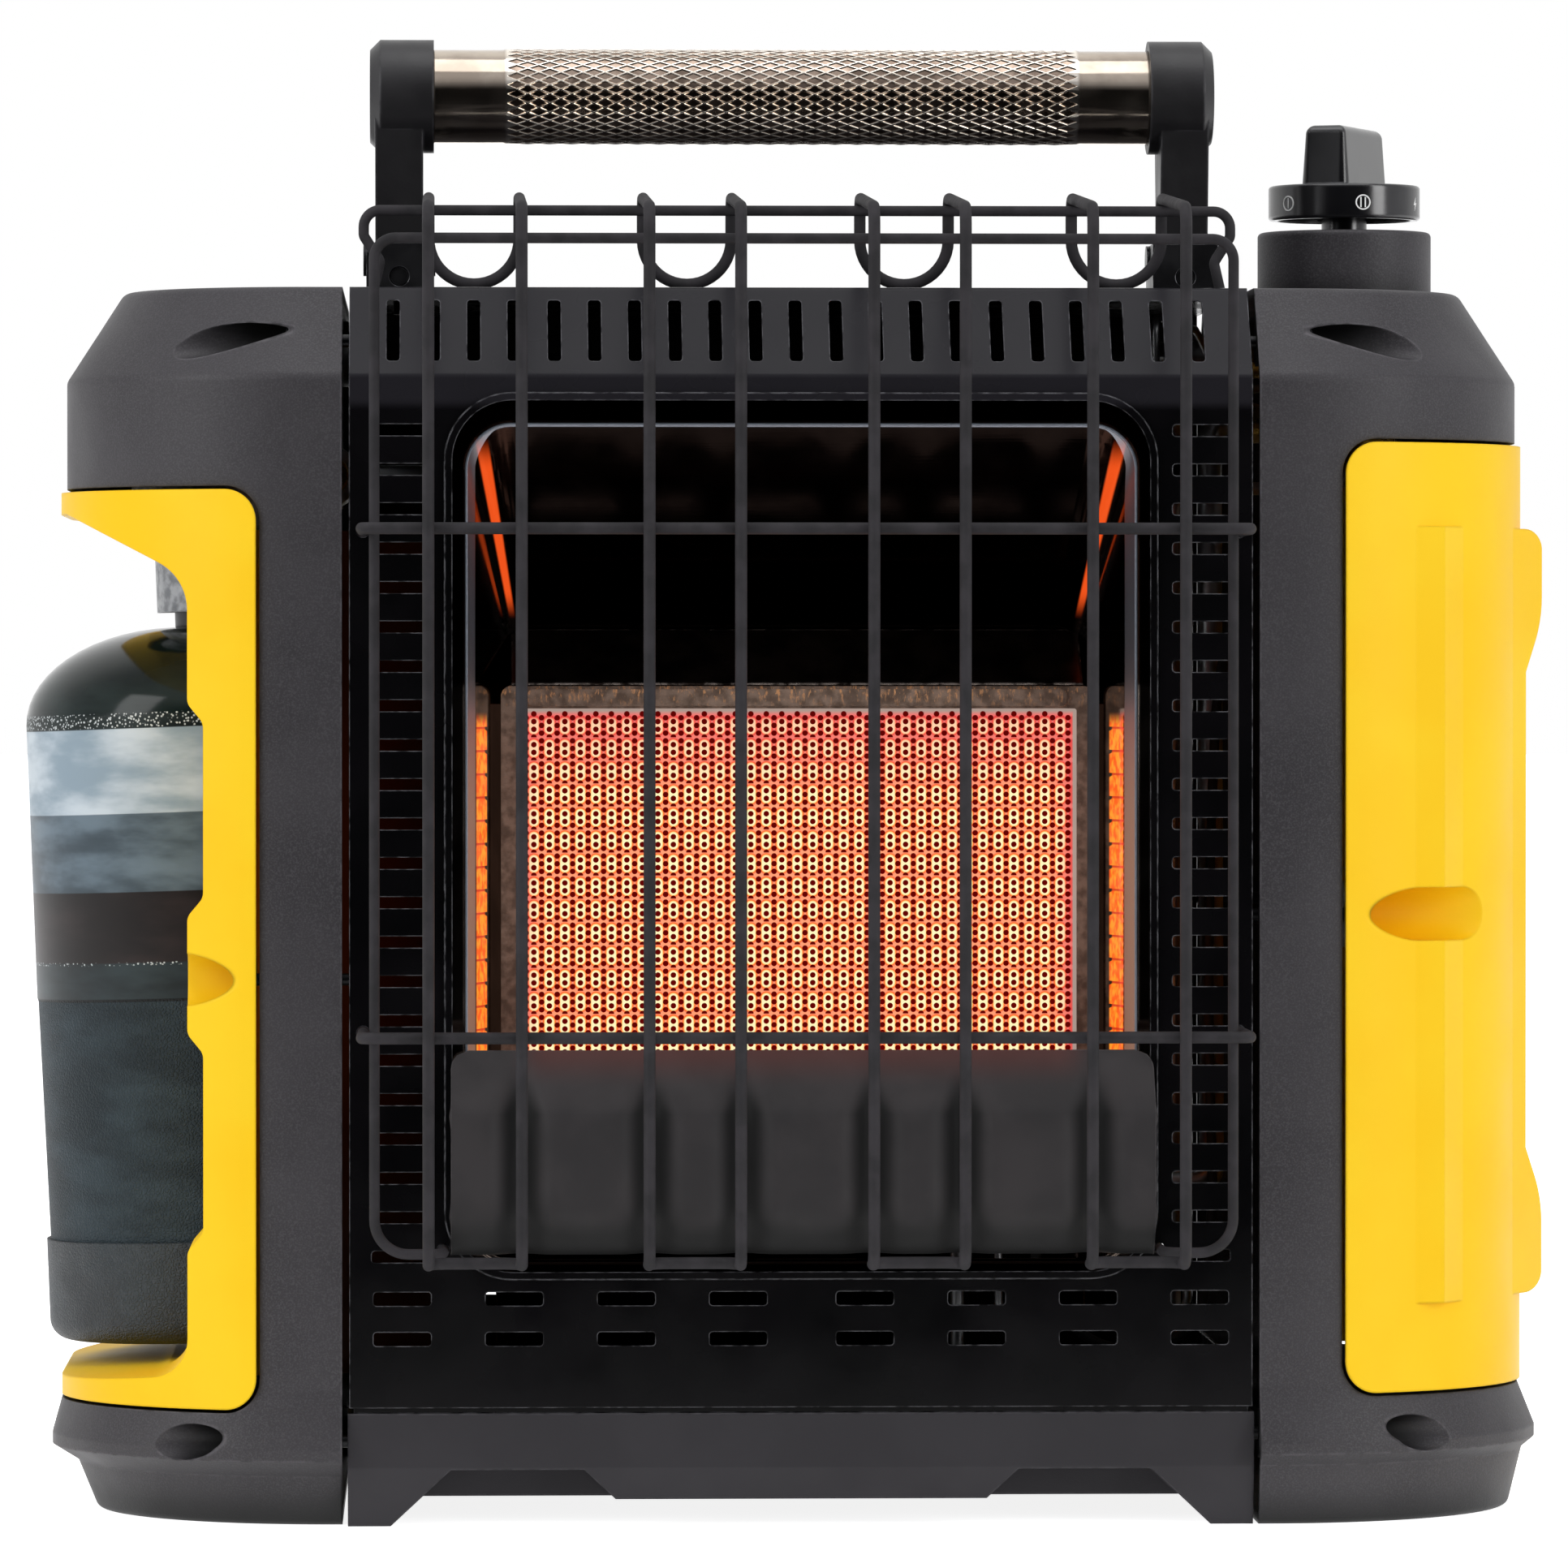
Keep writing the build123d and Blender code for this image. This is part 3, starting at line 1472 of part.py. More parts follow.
def switch_weight():
    """Weight that hangs from the pin and swings when the heater tips."""
    z = switch_pin_height()
    half = switch_bob_length / 2
    depths = (switch_depth - half, switch_depth + half)
    low = bar_top + pan_sheet + 2 * switch_sheet + switch_bob + sheet
    bob = rod(place(switch_across, depths[0], low), place(switch_across, depths[1], low), switch_bob)
    across = (switch_across - switch_arm_half, switch_across + switch_arm_half)
    arm = block(across, depths, (low, z))
    eye = switch_pin_bar(2 * switch_pin, depths)
    bore = (depths[0] - sheet, depths[1] + sheet)
    return bob + arm + eye - switch_pin_bar(switch_pin + switch_gap, bore)


# Pilot group, leads and shield


def pilot_face():
    """Depth of the pilot bracket's front face."""
    return tile_front_depth - 2 * frame_sheet


def pilot_bracket():
    """Plate on the burner frame's lower edge."""
    depths = (pilot_face(), pilot_face() + frame_sheet)
    across = (pilot_bracket_from, pilot_bracket_to)
    return block(across, depths, (pilot_bracket_low, tile_bottom))


def pilot_burner():
    """Small pilot burner in front of its bracket, with a slot for the flame."""
    depth = pilot_face() - pilot_radius
    burner = post(pilot_across, depth, (pilot_low, pilot_high), pilot_radius)
    hood = post(pilot_across, depth, (pilot_high - 2 * pilot_radius, pilot_high), pilot_radius - sheet)
    return burner - hood


def upright_beside_bracket(x, radius, heights):
    """Upright bar that touches the pilot bracket's front face."""
    return post(x, pilot_face() - radius, heights, radius)


def thermocouple():
    """Sensor tip by the pilot and its stiff lead, looped up past the top slots to the valve."""
    depth = pilot_face() - sensor_radius
    tip = upright_beside_bracket(sensor_across, sensor_radius, (sensor_low, sensor_high))
    side = side_slot_inner + side_slot_length / 2
    under = bar_top + 2 * pan_flange
    loop_across = mouth["half"] + 3 * sensor_radius
    loop_depth = panel_return + sheet
    points = [
        place(sensor_across, depth, sensor_low),
        place(sensor_across, depth, under),
        place(side, 2 * panel_return, under),
        place(side, 2 * panel_return, shoulder_height - shoulder_inset),
        place(loop_across, loop_depth, shoulder_height),
        place(loop_across, loop_depth + sheet, top_slot_high - 3 * sheet),
        place(side + 3 * sheet, lead_loop_back, top_slot_high - 5 * sheet),
        place(tower_inner, middle_depth, shoulder_height),
        place(knob_across - valve_radius - barrel_gap, knob_depth, shoulder_height),
    ]
    return tip + bent_bar(points, 2 * sensor_radius, lead_radius)


def spark_electrode():
    """Ceramic spark rod with its wire tip bent over the pilot."""
    rod_body = upright_beside_bracket(spark_across, spark_radius, (spark_low, spark_high))
    depth = pilot_face() - spark_radius
    reach = spark_across - (sensor_across + pilot_across) / 2 + sensor_radius
    points = [
        place(spark_across, depth, spark_high),
        place(spark_across, depth, spark_tip + sensor_radius),
        place(spark_across - reach / 2, depth - 2 * sensor_radius, spark_tip + sensor_radius),
    ]
    return rod_body + bent_bar(points, sheet, spark_tip_radius)


def spark_lead():
    """Insulated lead from the spark rod, under the burner and up to the spark generator."""
    start = place(spark_across, pilot_face() - spark_radius, spark_low)
    end = place(knob_across, piezo_depth(), piezo_low())
    points = [
        start,
        start - Vector(0, 0, 22),
        place(73, 32, 38),
        place(97, 34, 42),
        place(101, 40, 72),
        place(100, 44, 114),
        place(101, 52, 160),
        place(104, 66, 202),
        place(113, 88, 228),
        place(130, 108, 232),
        end - Vector(0, 0, 12),
        end,
    ]
    return cord("spark_lead", points, spark_radius / 2)


def pilot_tube():
    """Thin gas tube from the valve's foot to the pilot burner."""
    depth = pilot_face() - pilot_radius
    under = bar_top + pan_flange
    side = side_slot_inner + side_slot_length / 2
    points = [
        place(pilot_across, depth, pilot_low),
        place(pilot_across, depth, under),
        place(side, knob_depth - 4 * jet_radius, under),
        place(side, knob_depth - 4 * jet_radius, valve_bottom - 4 * pilot_tube_radius),
        place(knob_across, knob_depth, valve_bottom - 4 * pilot_tube_radius),
        place(knob_across, knob_depth, valve_bottom),
    ]
    return bent_bar(points, 3 * pilot_tube_radius, pilot_tube_radius)


def main_gas_tube():
    """Gas tube from the valve's outlet down the right side to the jet."""
    inlet = knob_across - valve_radius - valve_port_length
    jet_end = venturi_start + venturi_mouth_length - jet_gap + jet_length + jet_bracket
    top = place(inlet, knob_depth, valve_outlet_height)
    side = side_slot_inner + side_slot_length + gas_tube_radius
    points = [
        top,
        place(side, knob_depth, valve_outlet_height),
        place(side - gas_tube_radius, venturi_depth(), venturi_height),
        place(jet_end, venturi_depth(), venturi_height),
    ]
    return bent_bar(points, gas_tube_bend, gas_tube_radius)


def heat_shield():
    """Plate behind the burner, standing on the pan."""
    low = bar_top + pan_sheet
    across = (-shield_half, shield_half)
    shield = block(across, (shield_depth, shield_depth + shield_sheet), (low, shield_top))
    return shield + block(across, (shield_depth, shield_depth + shield_foot), (low, low + shield_sheet))


# Fasteners


def well_screws(well):
    """Front and rear screws of one well, on the right side."""
    floor = well["floor"]
    heads = well_pair(well, floor, screw_head, floor + screw_head_length)
    shanks = well_pair(well, screw_reach, screw_shank, floor)
    return [head + shank for head, shank in zip(heads, shanks)]


def right_screws():
    """Screws of the right tower and hose panel."""
    return group(*well_screws(top_well), *well_screws(hose_well), *well_screws(right_foot_well))


def left_screws():
    """Screws of the left tower and bay tub."""
    screws = well_screws(top_well) + well_screws(bay_well) + well_screws(left_foot_well)
    return group(*[mirrored(screw) for screw in screws])


def main():
    """Build every sub-part and write it."""
    os.makedirs("parts", exist_ok=True)
    save("left_tower_shell", left_tower())
    save("right_tower_shell", right_tower())
    save("control_boss", control_boss())
    save("right_hose_panel", hose_panel())
    save("left_bay_tub", bay_tub())
    save("front_panel", front_panel())
    save("rear_panel", rear_panel())
    save("base_front_bar", base_bar())
    save("base_rear_bar", rear(base_bar()))
    save("base_pan", base_pan())
    save("reflector_bowl", reflector_bowl())
    save("reflector_canopy", canopy())
    save("ceramic_tile", tile())
    save("tile_gasket", tile_gasket())
    save("burner_frame", burner_frame())
    save("burner_plenum", plenum())
    save("venturi_tube", venturi())
    save("gas_jet", gas_jet())
    save("lower_deflector", deflector())
    save("guard_hairpins", guard_hairpins())
    save("guard_crossbars", guard_crossbars())
    save("guard_side_frame", guard_side_frame())
    save("guard_top_bar", guard_top_bar())
    save("cylinder_body", cylinder_body())
    save("cylinder_foot_cup", cylinder_foot())
    save("cylinder_neck", cylinder_neck())
    save("regulator", regulator())
    save("swivel_bracket", swivel_bracket())
    save("swivel_tube", swivel_tube())
    save("feed_tube", feed_tube())
    save("valve_body", valve_body())
    save("valve_bracket", valve_bracket())
    save("piezo_igniter", piezo())
    save("knob_stem", knob_stem())
    save("knob", knob())
    save("thrust_washer", plunger())
    save("knob_spring", knob_spring())
    save("handle_tube", handle_tube())
    save("right_handle_arm", handle_arm())
    save("left_handle_arm", mirrored(handle_arm()))
    save("right_handle_bracket", handle_bracket())
    save("left_handle_bracket", mirrored(handle_bracket()))
    save("handle_pins", group(hinge_pin_solid(), mirrored(hinge_pin_solid())))
    save("bracket_screws", group(bracket_screws(), mirrored(bracket_screws())))
    save("tip_switch_case", switch_case())
    save("tip_switch_weight", switch_weight())
    save("pilot_bracket", pilot_bracket())
    save("pilot_burner", pilot_burner())
    save("thermocouple", thermocouple())
    save("spark_electrode", spark_electrode())
    save("spark_lead", spark_lead())
    save("pilot_tube", pilot_tube())
    save("main_gas_tube", main_gas_tube())
    save("heat_shield", heat_shield())
    save("right_tower_screws", right_screws())
    save("left_tower_screws", left_screws())


main()
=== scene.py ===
"""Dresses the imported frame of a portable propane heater: meshes, finishes, studio and camera."""

import logging
import math
from dataclasses import dataclass, field
from enum import Enum
from typing import Any

import bmesh
import bpy
from mathutils import Matrix, Vector


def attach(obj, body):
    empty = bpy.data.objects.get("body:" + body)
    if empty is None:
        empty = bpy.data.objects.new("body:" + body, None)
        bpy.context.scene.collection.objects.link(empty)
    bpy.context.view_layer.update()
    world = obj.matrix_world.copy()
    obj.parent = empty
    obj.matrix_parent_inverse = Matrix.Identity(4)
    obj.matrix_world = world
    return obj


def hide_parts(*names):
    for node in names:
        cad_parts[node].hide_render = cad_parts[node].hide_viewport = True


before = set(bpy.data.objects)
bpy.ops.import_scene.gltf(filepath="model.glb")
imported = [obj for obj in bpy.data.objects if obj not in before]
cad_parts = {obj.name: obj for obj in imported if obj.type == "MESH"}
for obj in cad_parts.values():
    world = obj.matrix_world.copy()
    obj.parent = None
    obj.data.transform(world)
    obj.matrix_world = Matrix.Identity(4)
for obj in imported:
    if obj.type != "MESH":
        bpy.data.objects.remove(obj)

LOG = logging.getLogger("heater")
MM = 0.001
FRONT_Y = -77.75

# A span is the two values between which a change runs smoothly from nought to one. It may also run down.
Span = tuple[float, float]
Triple = tuple[float, float, float]
Socket = bpy.types.NodeSocket

# Noise values between which one shade of a patch gives way to the other, a speck shows, and an edge is worn and
# paled by a painted highlight.
CLOUD: Span = (0.35, 0.65)
SPECK: Span = (0.42, 0.7)
EDGE_WEAR_AND_HIGHLIGHT: Span = (0.35, 0.6)
# The cosine between the softened and the flat normal along an edge, and the share of open sky below which a
# hollow gets painted shade.
EDGE_TURN: Span = (0.995, 0.9)
HOLLOW_SKY: Span = (0.82, 0.5)
# How many rays look for a near edge, and how many for open sky.
EDGE_SAMPLES, SKY_SAMPLES = 4, 6
# How far from its crease, in cells, a cell of leather grain reaches its full height.
CREASE: Span = (0.0, 0.25)
# The noise values over which the roughness varies, and how large its patches are beside the colour's.
DULLNESS: Span = (0.3, 0.7)
DULLNESS_PATCH = 0.6


class Grain(Enum):
    """How the fine relief of a finish is laid."""

    SAND = "even, fine pits of a spark-eroded mould"
    PEEL = "soft waves of sprayed and baked paint"
    BRUSH = "long thin scratches in one direction"
    CAST = "lumps of a sand or die casting"
    LEATHER = "joined cells with creases between them"


# How much longer than wide a brushed scratch is, and the finer layers of a grain's noise with their strength.
BRUSH_STRETCH = (40.0, 1.0, 1.0)
GRAIN_LAYERS = {Grain.BRUSH: (3.0, 0.5), Grain.CAST: (6.0, 0.7), Grain.PEEL: (1.0, 0.5)}


class Mark(Enum):
    """The marks printed round the knob's ring."""

    ONE = 1
    TWO = 2
    SPARK = 3


@dataclass(frozen=True)
class TileGrid:
    """How the burner tile's holes stand: in columns, every other one half a row lower."""

    column: float = 1.856
    row: float = 1.84
    first_x: float = -63.1
    first_z: float = 192.3
    face_y: float = FRONT_Y + 28.0


@dataclass(frozen=True)
class GripLine:
    """The line that the handle's tube runs along, and how far the crests of its knurl stand from it."""

    axis_y: float = FRONT_Y + 69.0
    axis_z: float = 342.4
    crest: float = 11.55


@dataclass(frozen=True)
class BottleLean:
    """How the bottle leans: the point that it turns about, and the angle in degrees."""

    pivot: Triple = (-113.0, FRONT_Y + 100.0, 250.5)
    degrees: float = -2.25


def linear(code: str) -> tuple[float, float, float, float]:
    """Turns an sRGB hex colour into the linear values a shader takes.

    Args:
        code: the colour as "#rrggbb".

    Returns:
        Linear red, green, blue and an alpha of one.
    """
    parts = [int(code[i:i + 2], 16) / 255 for i in (1, 3, 5)]
    red, green, blue = [p / 12.92 if p <= 0.04045 else ((p + 0.055) / 1.055) ** 2.4 for p in parts]
    return red, green, blue, 1.0


@dataclass
class Shading:
    """A node tree, emptied, and the coordinates that its patterns are laid in.

    The coordinates are the object's own in millimetres, unless others are asked for.
    """

    tree: bpy.types.NodeTree
    coordinates: str = "Object"
    steps_a_metre: float = 1000.0
    place: Socket = field(init=False)

    def __post_init__(self) -> None:
        """Empties the tree and takes its coordinates."""
        self.tree.nodes.clear()
        self.place = self.node("VectorMath", {0: self.node("TexCoord", output=self.coordinates),
                                              "Scale": self.steps_a_metre}, operation="SCALE")

    def node(self, kind: str, inputs: dict[int | str, Any] | None = None, output: int | str = 0,
             **settings: Any) -> Socket | None:
        """Adds a node with its settings, its values and its links.

        Args:
            kind: the node's type, without the "ShaderNode" that its name begins with.
            inputs: a number, a vector, a colour code or a socket for each input, by number or name.
            output: the output that is handed on, by number or name.
            settings: the node's own properties.

        Returns:
            The socket of that output, or None for a node that has none.
        """
        node = self.tree.nodes.new("ShaderNode" + kind)
        for name, value in settings.items():
            setattr(node, name, value)
        for name, value in (inputs or {}).items():
            if isinstance(value, Socket):
                self.tree.links.new(value, node.inputs[name])
            else:
                node.inputs[name].default_value = linear(value) if isinstance(value, str) else value
        return node.outputs[output] if node.outputs else None

    def axes(self) -> tuple[Socket, Socket, Socket]:
        """Splits the place into its three axes."""
        across, deep, up = self.node("SeparateXYZ", {0: self.place}).node.outputs
        return across, deep, up

    def within(self, *limits: tuple[Socket, Span], whole: Any = 1.0) -> Socket:
        """Marks where every one of some soft limits is passed.

        Args:
            limits: each value that is measured, with the span over which it counts.
            whole: the result where all of them are passed.

        Returns:
            The result's socket, nought where a limit isn't reached.
        """
        for value, (start, end) in limits:
            whole = self.node("MapRange", {0: value, 1: start, 2: end, 4: whole},
                              interpolation_type="SMOOTHSTEP")
        return whole

    def coats(self, base: Any, *layers: tuple[Any, Any]) -> Socket:
        """Lays colours over one another.

        Args:
            base: the lowest colour, a code or a socket.
            layers: the share and the colour of each coat over it, from the lowest up.

        Returns:
            The colour's socket.
        """
        for share, colour in layers:
            base = self.node("Mix", {0: share, 6: base, 7: colour}, 2, data_type="RGBA")
        return base


@dataclass(frozen=True)
class Finish:
    """A surface finish: two close shades in patches, a fine grain and softened edges.

    Sizes are in millimetres, colours are sRGB codes.
    """

    name: str
    light: str
    dark: str
    patch_mm: float = 12.0
    rough: float = 0.5
    rough_swing: float = 0.06
    grain: Grain = Grain.SAND
    grain_mm: float = 0.6
    grain_deep_mm: float = 0.015
    edge_mm: float = 0.4
    # An edge colour is laid in patches along the edges: wear, and a painted highlight.
    edge_wear_and_highlight: str = ""
    edge_wear_and_highlight_mm: float = 3.0
    metallic: float = 0.0
    specular: float = 0.5
    speck: str = ""
    speck_mm: float = 0.4
    # Painted shade: hollows that see little open sky within this reach are darkened towards the hollow colour.
    painted_shade_mm: float = 0.0
    hollow: str = "#060606"

    def colour(self, shading: Shading) -> Socket:
        """Lays the two shades in soft patches.

        Args:
            shading: the tree and its coordinates.

        Returns:
            The colour's socket.
        """
        patches = shading.node("TexNoise", {"Vector": shading.place, "Scale": 1 / self.patch_mm, "Detail": 4.0})
        base = shading.coats(self.light, (shading.within((patches, CLOUD)), self.dark))
        if not self.speck:
            return base
        specks = shading.node("TexNoise", {"Vector": shading.place, "Scale": 1 / self.speck_mm, "Detail": 1.0})
        return shading.coats(base, (shading.within((specks, SPECK)), self.speck))

    def relief(self, shading: Shading) -> Socket:
        """Lays the fine grain as a height in millimetres.

        Args:
            shading: the tree and its coordinates.

        Returns:
            The height's socket.
        """
        node = shading.node
        laid = {"Vector": shading.place, "Scale": 1 / self.grain_mm}
        if self.grain is Grain.BRUSH:
            laid["Vector"] = node("Mapping", {"Vector": shading.place, "Scale": BRUSH_STRETCH},
                                  vector_type="TEXTURE")
        if self.grain is Grain.LEATHER:
            bare = shading.within((node("TexVoronoi", laid, feature="DISTANCE_TO_EDGE"), CREASE))
        elif self.grain is Grain.SAND:
            bare = node("TexVoronoi", laid)
        else:
            detail, strength = GRAIN_LAYERS[self.grain]
            bare = node("TexNoise", laid | {"Detail": detail, "Roughness": strength})
        return node("Math", {0: bare, 1: self.grain_deep_mm}, operation="MULTIPLY")

    def dullness(self, shading: Shading) -> Socket:
        """Varies the roughness in patches a little smaller than the colour's.

        Args:
            shading: the tree and its coordinates.

        Returns:
            The roughness socket.
        """
        scale = 1 / (DULLNESS_PATCH * self.patch_mm)
        cloud = shading.node("TexNoise", {"Vector": shading.place, "Scale": scale, "Detail": 3.0})
        return shading.node("MapRange", {0: cloud, 1: DULLNESS[0], 2: DULLNESS[1],
                                         3: self.rough - self.rough_swing, 4: self.rough + self.rough_swing})

    def glow(self, shading: Shading) -> Socket | None:
        """Gives the colour of the light that the surface sends out, none for most finishes."""
        return None

    def make(self) -> bpy.types.Material:
        """Builds the material of this finish.

        Returns:
            The material, made once for each name.
        """
        if self.name in bpy.data.materials:
            old = bpy.data.materials[self.name]
            if old.get("dressed"):
                return old
            old.name = self.name + "_frame"
        material = bpy.data.materials.new(self.name)
        material["dressed"] = True
        material.use_nodes = True
        shading = Shading(material.node_tree)
        node = shading.node
        soft_edge = node("Bevel", {"Radius": self.edge_mm * MM}, samples=EDGE_SAMPLES)
        relief = node("Bump", {"Height": self.relief(shading), "Distance": MM, "Normal": soft_edge})
        colour = self.colour(shading)
        # Edges are paled in patches: wear, and a painted highlight along them.
        if self.edge_wear_and_highlight:
            flat = node("NewGeometry", output="Normal")
            turn = node("VectorMath", {0: soft_edge, 1: flat}, "Value", operation="DOT_PRODUCT")
            edge_wear_and_highlight_noise = node("TexNoise", {"Vector": shading.place, "Scale": 1 / self.edge_wear_and_highlight_mm, "Detail": 3.0})
            colour = shading.coats(colour, (shading.within((turn, EDGE_TURN), (edge_wear_and_highlight_noise, EDGE_WEAR_AND_HIGHLIGHT)), self.edge_wear_and_highlight))
        # Painted shade in hollows, by how little open sky they see.
        if self.painted_shade_mm:
            sky = node("AmbientOcclusion", {"Distance": self.painted_shade_mm * MM}, "AO", samples=SKY_SAMPLES)
            colour = shading.coats(colour, (shading.within((sky, HOLLOW_SKY)), self.hollow))
        surface = {"Base Color": colour, "Roughness": self.dullness(shading), "Metallic": self.metallic,
                   "Specular IOR Level": self.specular, "Normal": relief}
        light = self.glow(shading)
        if light:
            surface |= {"Emission Color": light, "Emission Strength": 1.0}
        node("OutputMaterial", {"Surface": node("BsdfPrincipled", surface)})
        return material


@dataclass(frozen=True)
class GlowingCeramic(Finish):
    """Drilled burner ceramic at red heat: pale-yellow rings round pairs of holes on orange, dark red holes.

    The pattern is counted in the tile's own columns and rows, so it stays with the holes. Spans that end in out
    are counted from the tile's middle, in down from its first row, in deep from its face.
    """

    grid: TileGrid = TileGrid()
    ring_edge: Span = (1.42, 1.18)
    ring_rim: Span = (0.9, 1.3)
    past_ring: Span = (1.4, 1.8)
    ring_down: Span = (0.3, 2.2)
    ring_out: Span = (66.2, 64.0)
    warm_down: Span = (-1.0, 24.0)
    warm_out: Span = (66.5, 60.5)
    flicker_mm: float = 9.0
    flicker: Span = (0.75, 1.25)
    cold_down: Span = (0.5, -0.9)
    cold_out: Span = (65.8, 66.3)
    hole_deep: Span = (0.08, 0.45)
    floor_deep: Span = (0.8, 2.6)
    side_out: Span = (66.8, 67.2)

    def from_pair(self, shading: Shading, across: Socket, down: Socket) -> Socket:
        """Measures how far a point is from the nearest pair of holes: two of every three rows are joined.

        Args:
            shading: the tree and its coordinates.
            across: the place across.
            down: the distance down from the first row.

        Returns:
            The distance's socket, nought between the two holes.
        """
        node = shading.node
        counted = node("Math", {0: across, 1: self.grid.first_x}, operation="SUBTRACT")
        aside = node("Math", {0: counted, 1: self.grid.column}, operation="PINGPONG")
        from_third = node("Math", {0: down, 1: 1.5 * self.grid.row}, operation="PINGPONG")
        past = node("Math", {0: self.grid.row, 1: from_third}, operation="SUBTRACT")
        past = node("Math", {0: past, 1: 0.0}, operation="MAXIMUM")
        return node("VectorMath", {0: node("CombineXYZ", {0: aside, 1: past})}, "Value", operation="LENGTH")

    def glow(self, shading: Shading) -> Socket:
        """Lays the heat pattern.

        Args:
            shading: the tree and its coordinates.

        Returns:
            The light's colour.
        """
        node, within, coats = shading.node, shading.within, shading.coats
        x, y, z = shading.axes()
        wide = node("Math", {0: x}, operation="ABSOLUTE")
        down = node("Math", {0: self.grid.first_z, 1: z}, operation="SUBTRACT")
        deep = node("Math", {0: y, 1: self.grid.face_y}, operation="SUBTRACT")
        far = self.from_pair(shading, x, down)
        cloud = node("TexNoise", {"Vector": shading.place, "Scale": 1 / self.flicker_mm, "Detail": 3.0})
        flicker = node("MapRange", {0: cloud, 3: self.flicker[0], 4: self.flicker[1]})
        warm = within((down, self.warm_down), (wide, self.warm_out), whole=flicker)
        past = within((far, self.past_ring))
        body = coats(coats("#E03038", (past, "#EE6A66")), (warm, coats("#FF5A20", (past, "#FF9A70"))))
        rim = within((far, self.ring_rim))
        rings = coats(coats("#FFCBA4", (rim, "#FF7A54")), (warm, coats("#FFF6BE", (rim, "#FFB040"))))
        ringed = within((far, self.ring_edge), (down, self.ring_down), (wide, self.ring_out))
        cold = node("Math", {0: within((down, self.cold_down)), 1: within((wide, self.cold_out))},
                    operation="MAXIMUM")
        face = coats(body, (ringed, rings), (cold, "#A2938A"))
        hole = coats("#3C0004", (warm, "#A60300"), (within((deep, self.floor_deep)), "#5A0000"))
        drilled = within((deep, self.hole_deep))
        outside = within((wide, self.side_out), whole=drilled)
        return coats(face, (drilled, hole), (outside, "#33251E"))


@dataclass(frozen=True)
class HeatedStrip(Finish):
    """Burner frame steel that has been red hot: brown scale with copper flecks in a band."""

    band_foot: Span = (193.0, 197.5)
    band_top: Span = (199.8, 199.3)
    fleck: Span = (0.52, 0.66)
    fleck_mm: float = 0.9
    fleck_ragged: float = 0.65
    fleck_stretch: Triple = (0.8, 1.0, 2.2)

    def colour(self, shading: Shading) -> Socket:
        """Lays grey-brown scale, rust and copper flecks.

        Args:
            shading: the tree and its coordinates.

        Returns:
            The colour's socket.
        """
        _, _, z = shading.axes()
        spread = shading.node("Mapping", {"Vector": shading.place, "Scale": self.fleck_stretch},
                              vector_type="TEXTURE")
        flecks = shading.node("TexNoise", {"Vector": spread, "Scale": 1 / self.fleck_mm, "Detail": 4.0,
                                           "Roughness": self.fleck_ragged})
        share = shading.within((flecks, self.fleck), (z, self.band_top), (z, self.band_foot))
        return shading.coats(Finish.colour(self, shading), (share, "#D69C6C"))


@dataclass(frozen=True)
class ShadedYellow(Finish):
    """Yellow moulding, with painted shade in dark brown where it reaches into the housing."""

    inner: Span = (-110.0, -109.5)
    shaded_facing: Triple = (1.0, 0.0, -1.0)
    turned: Span = (-0.3, -0.1)

    def colour(self, shading: Shading) -> Socket:
        """Paints shade in dark brown on the part inside the housing, except where it faces out and up.

        Args:
            shading: the tree and its coordinates.

        Returns:
            The colour's socket.
        """
        x, _, _ = shading.axes()
        facing = shading.node("NewGeometry", output="Normal")
        aside = shading.node("VectorMath", {0: facing, 1: self.shaded_facing}, "Value", operation="DOT_PRODUCT")
        # Painted shade inside the housing.
        return shading.coats(Finish.colour(self, shading),
                             (shading.within((x, self.inner), (aside, self.turned)), "#4A240A"))


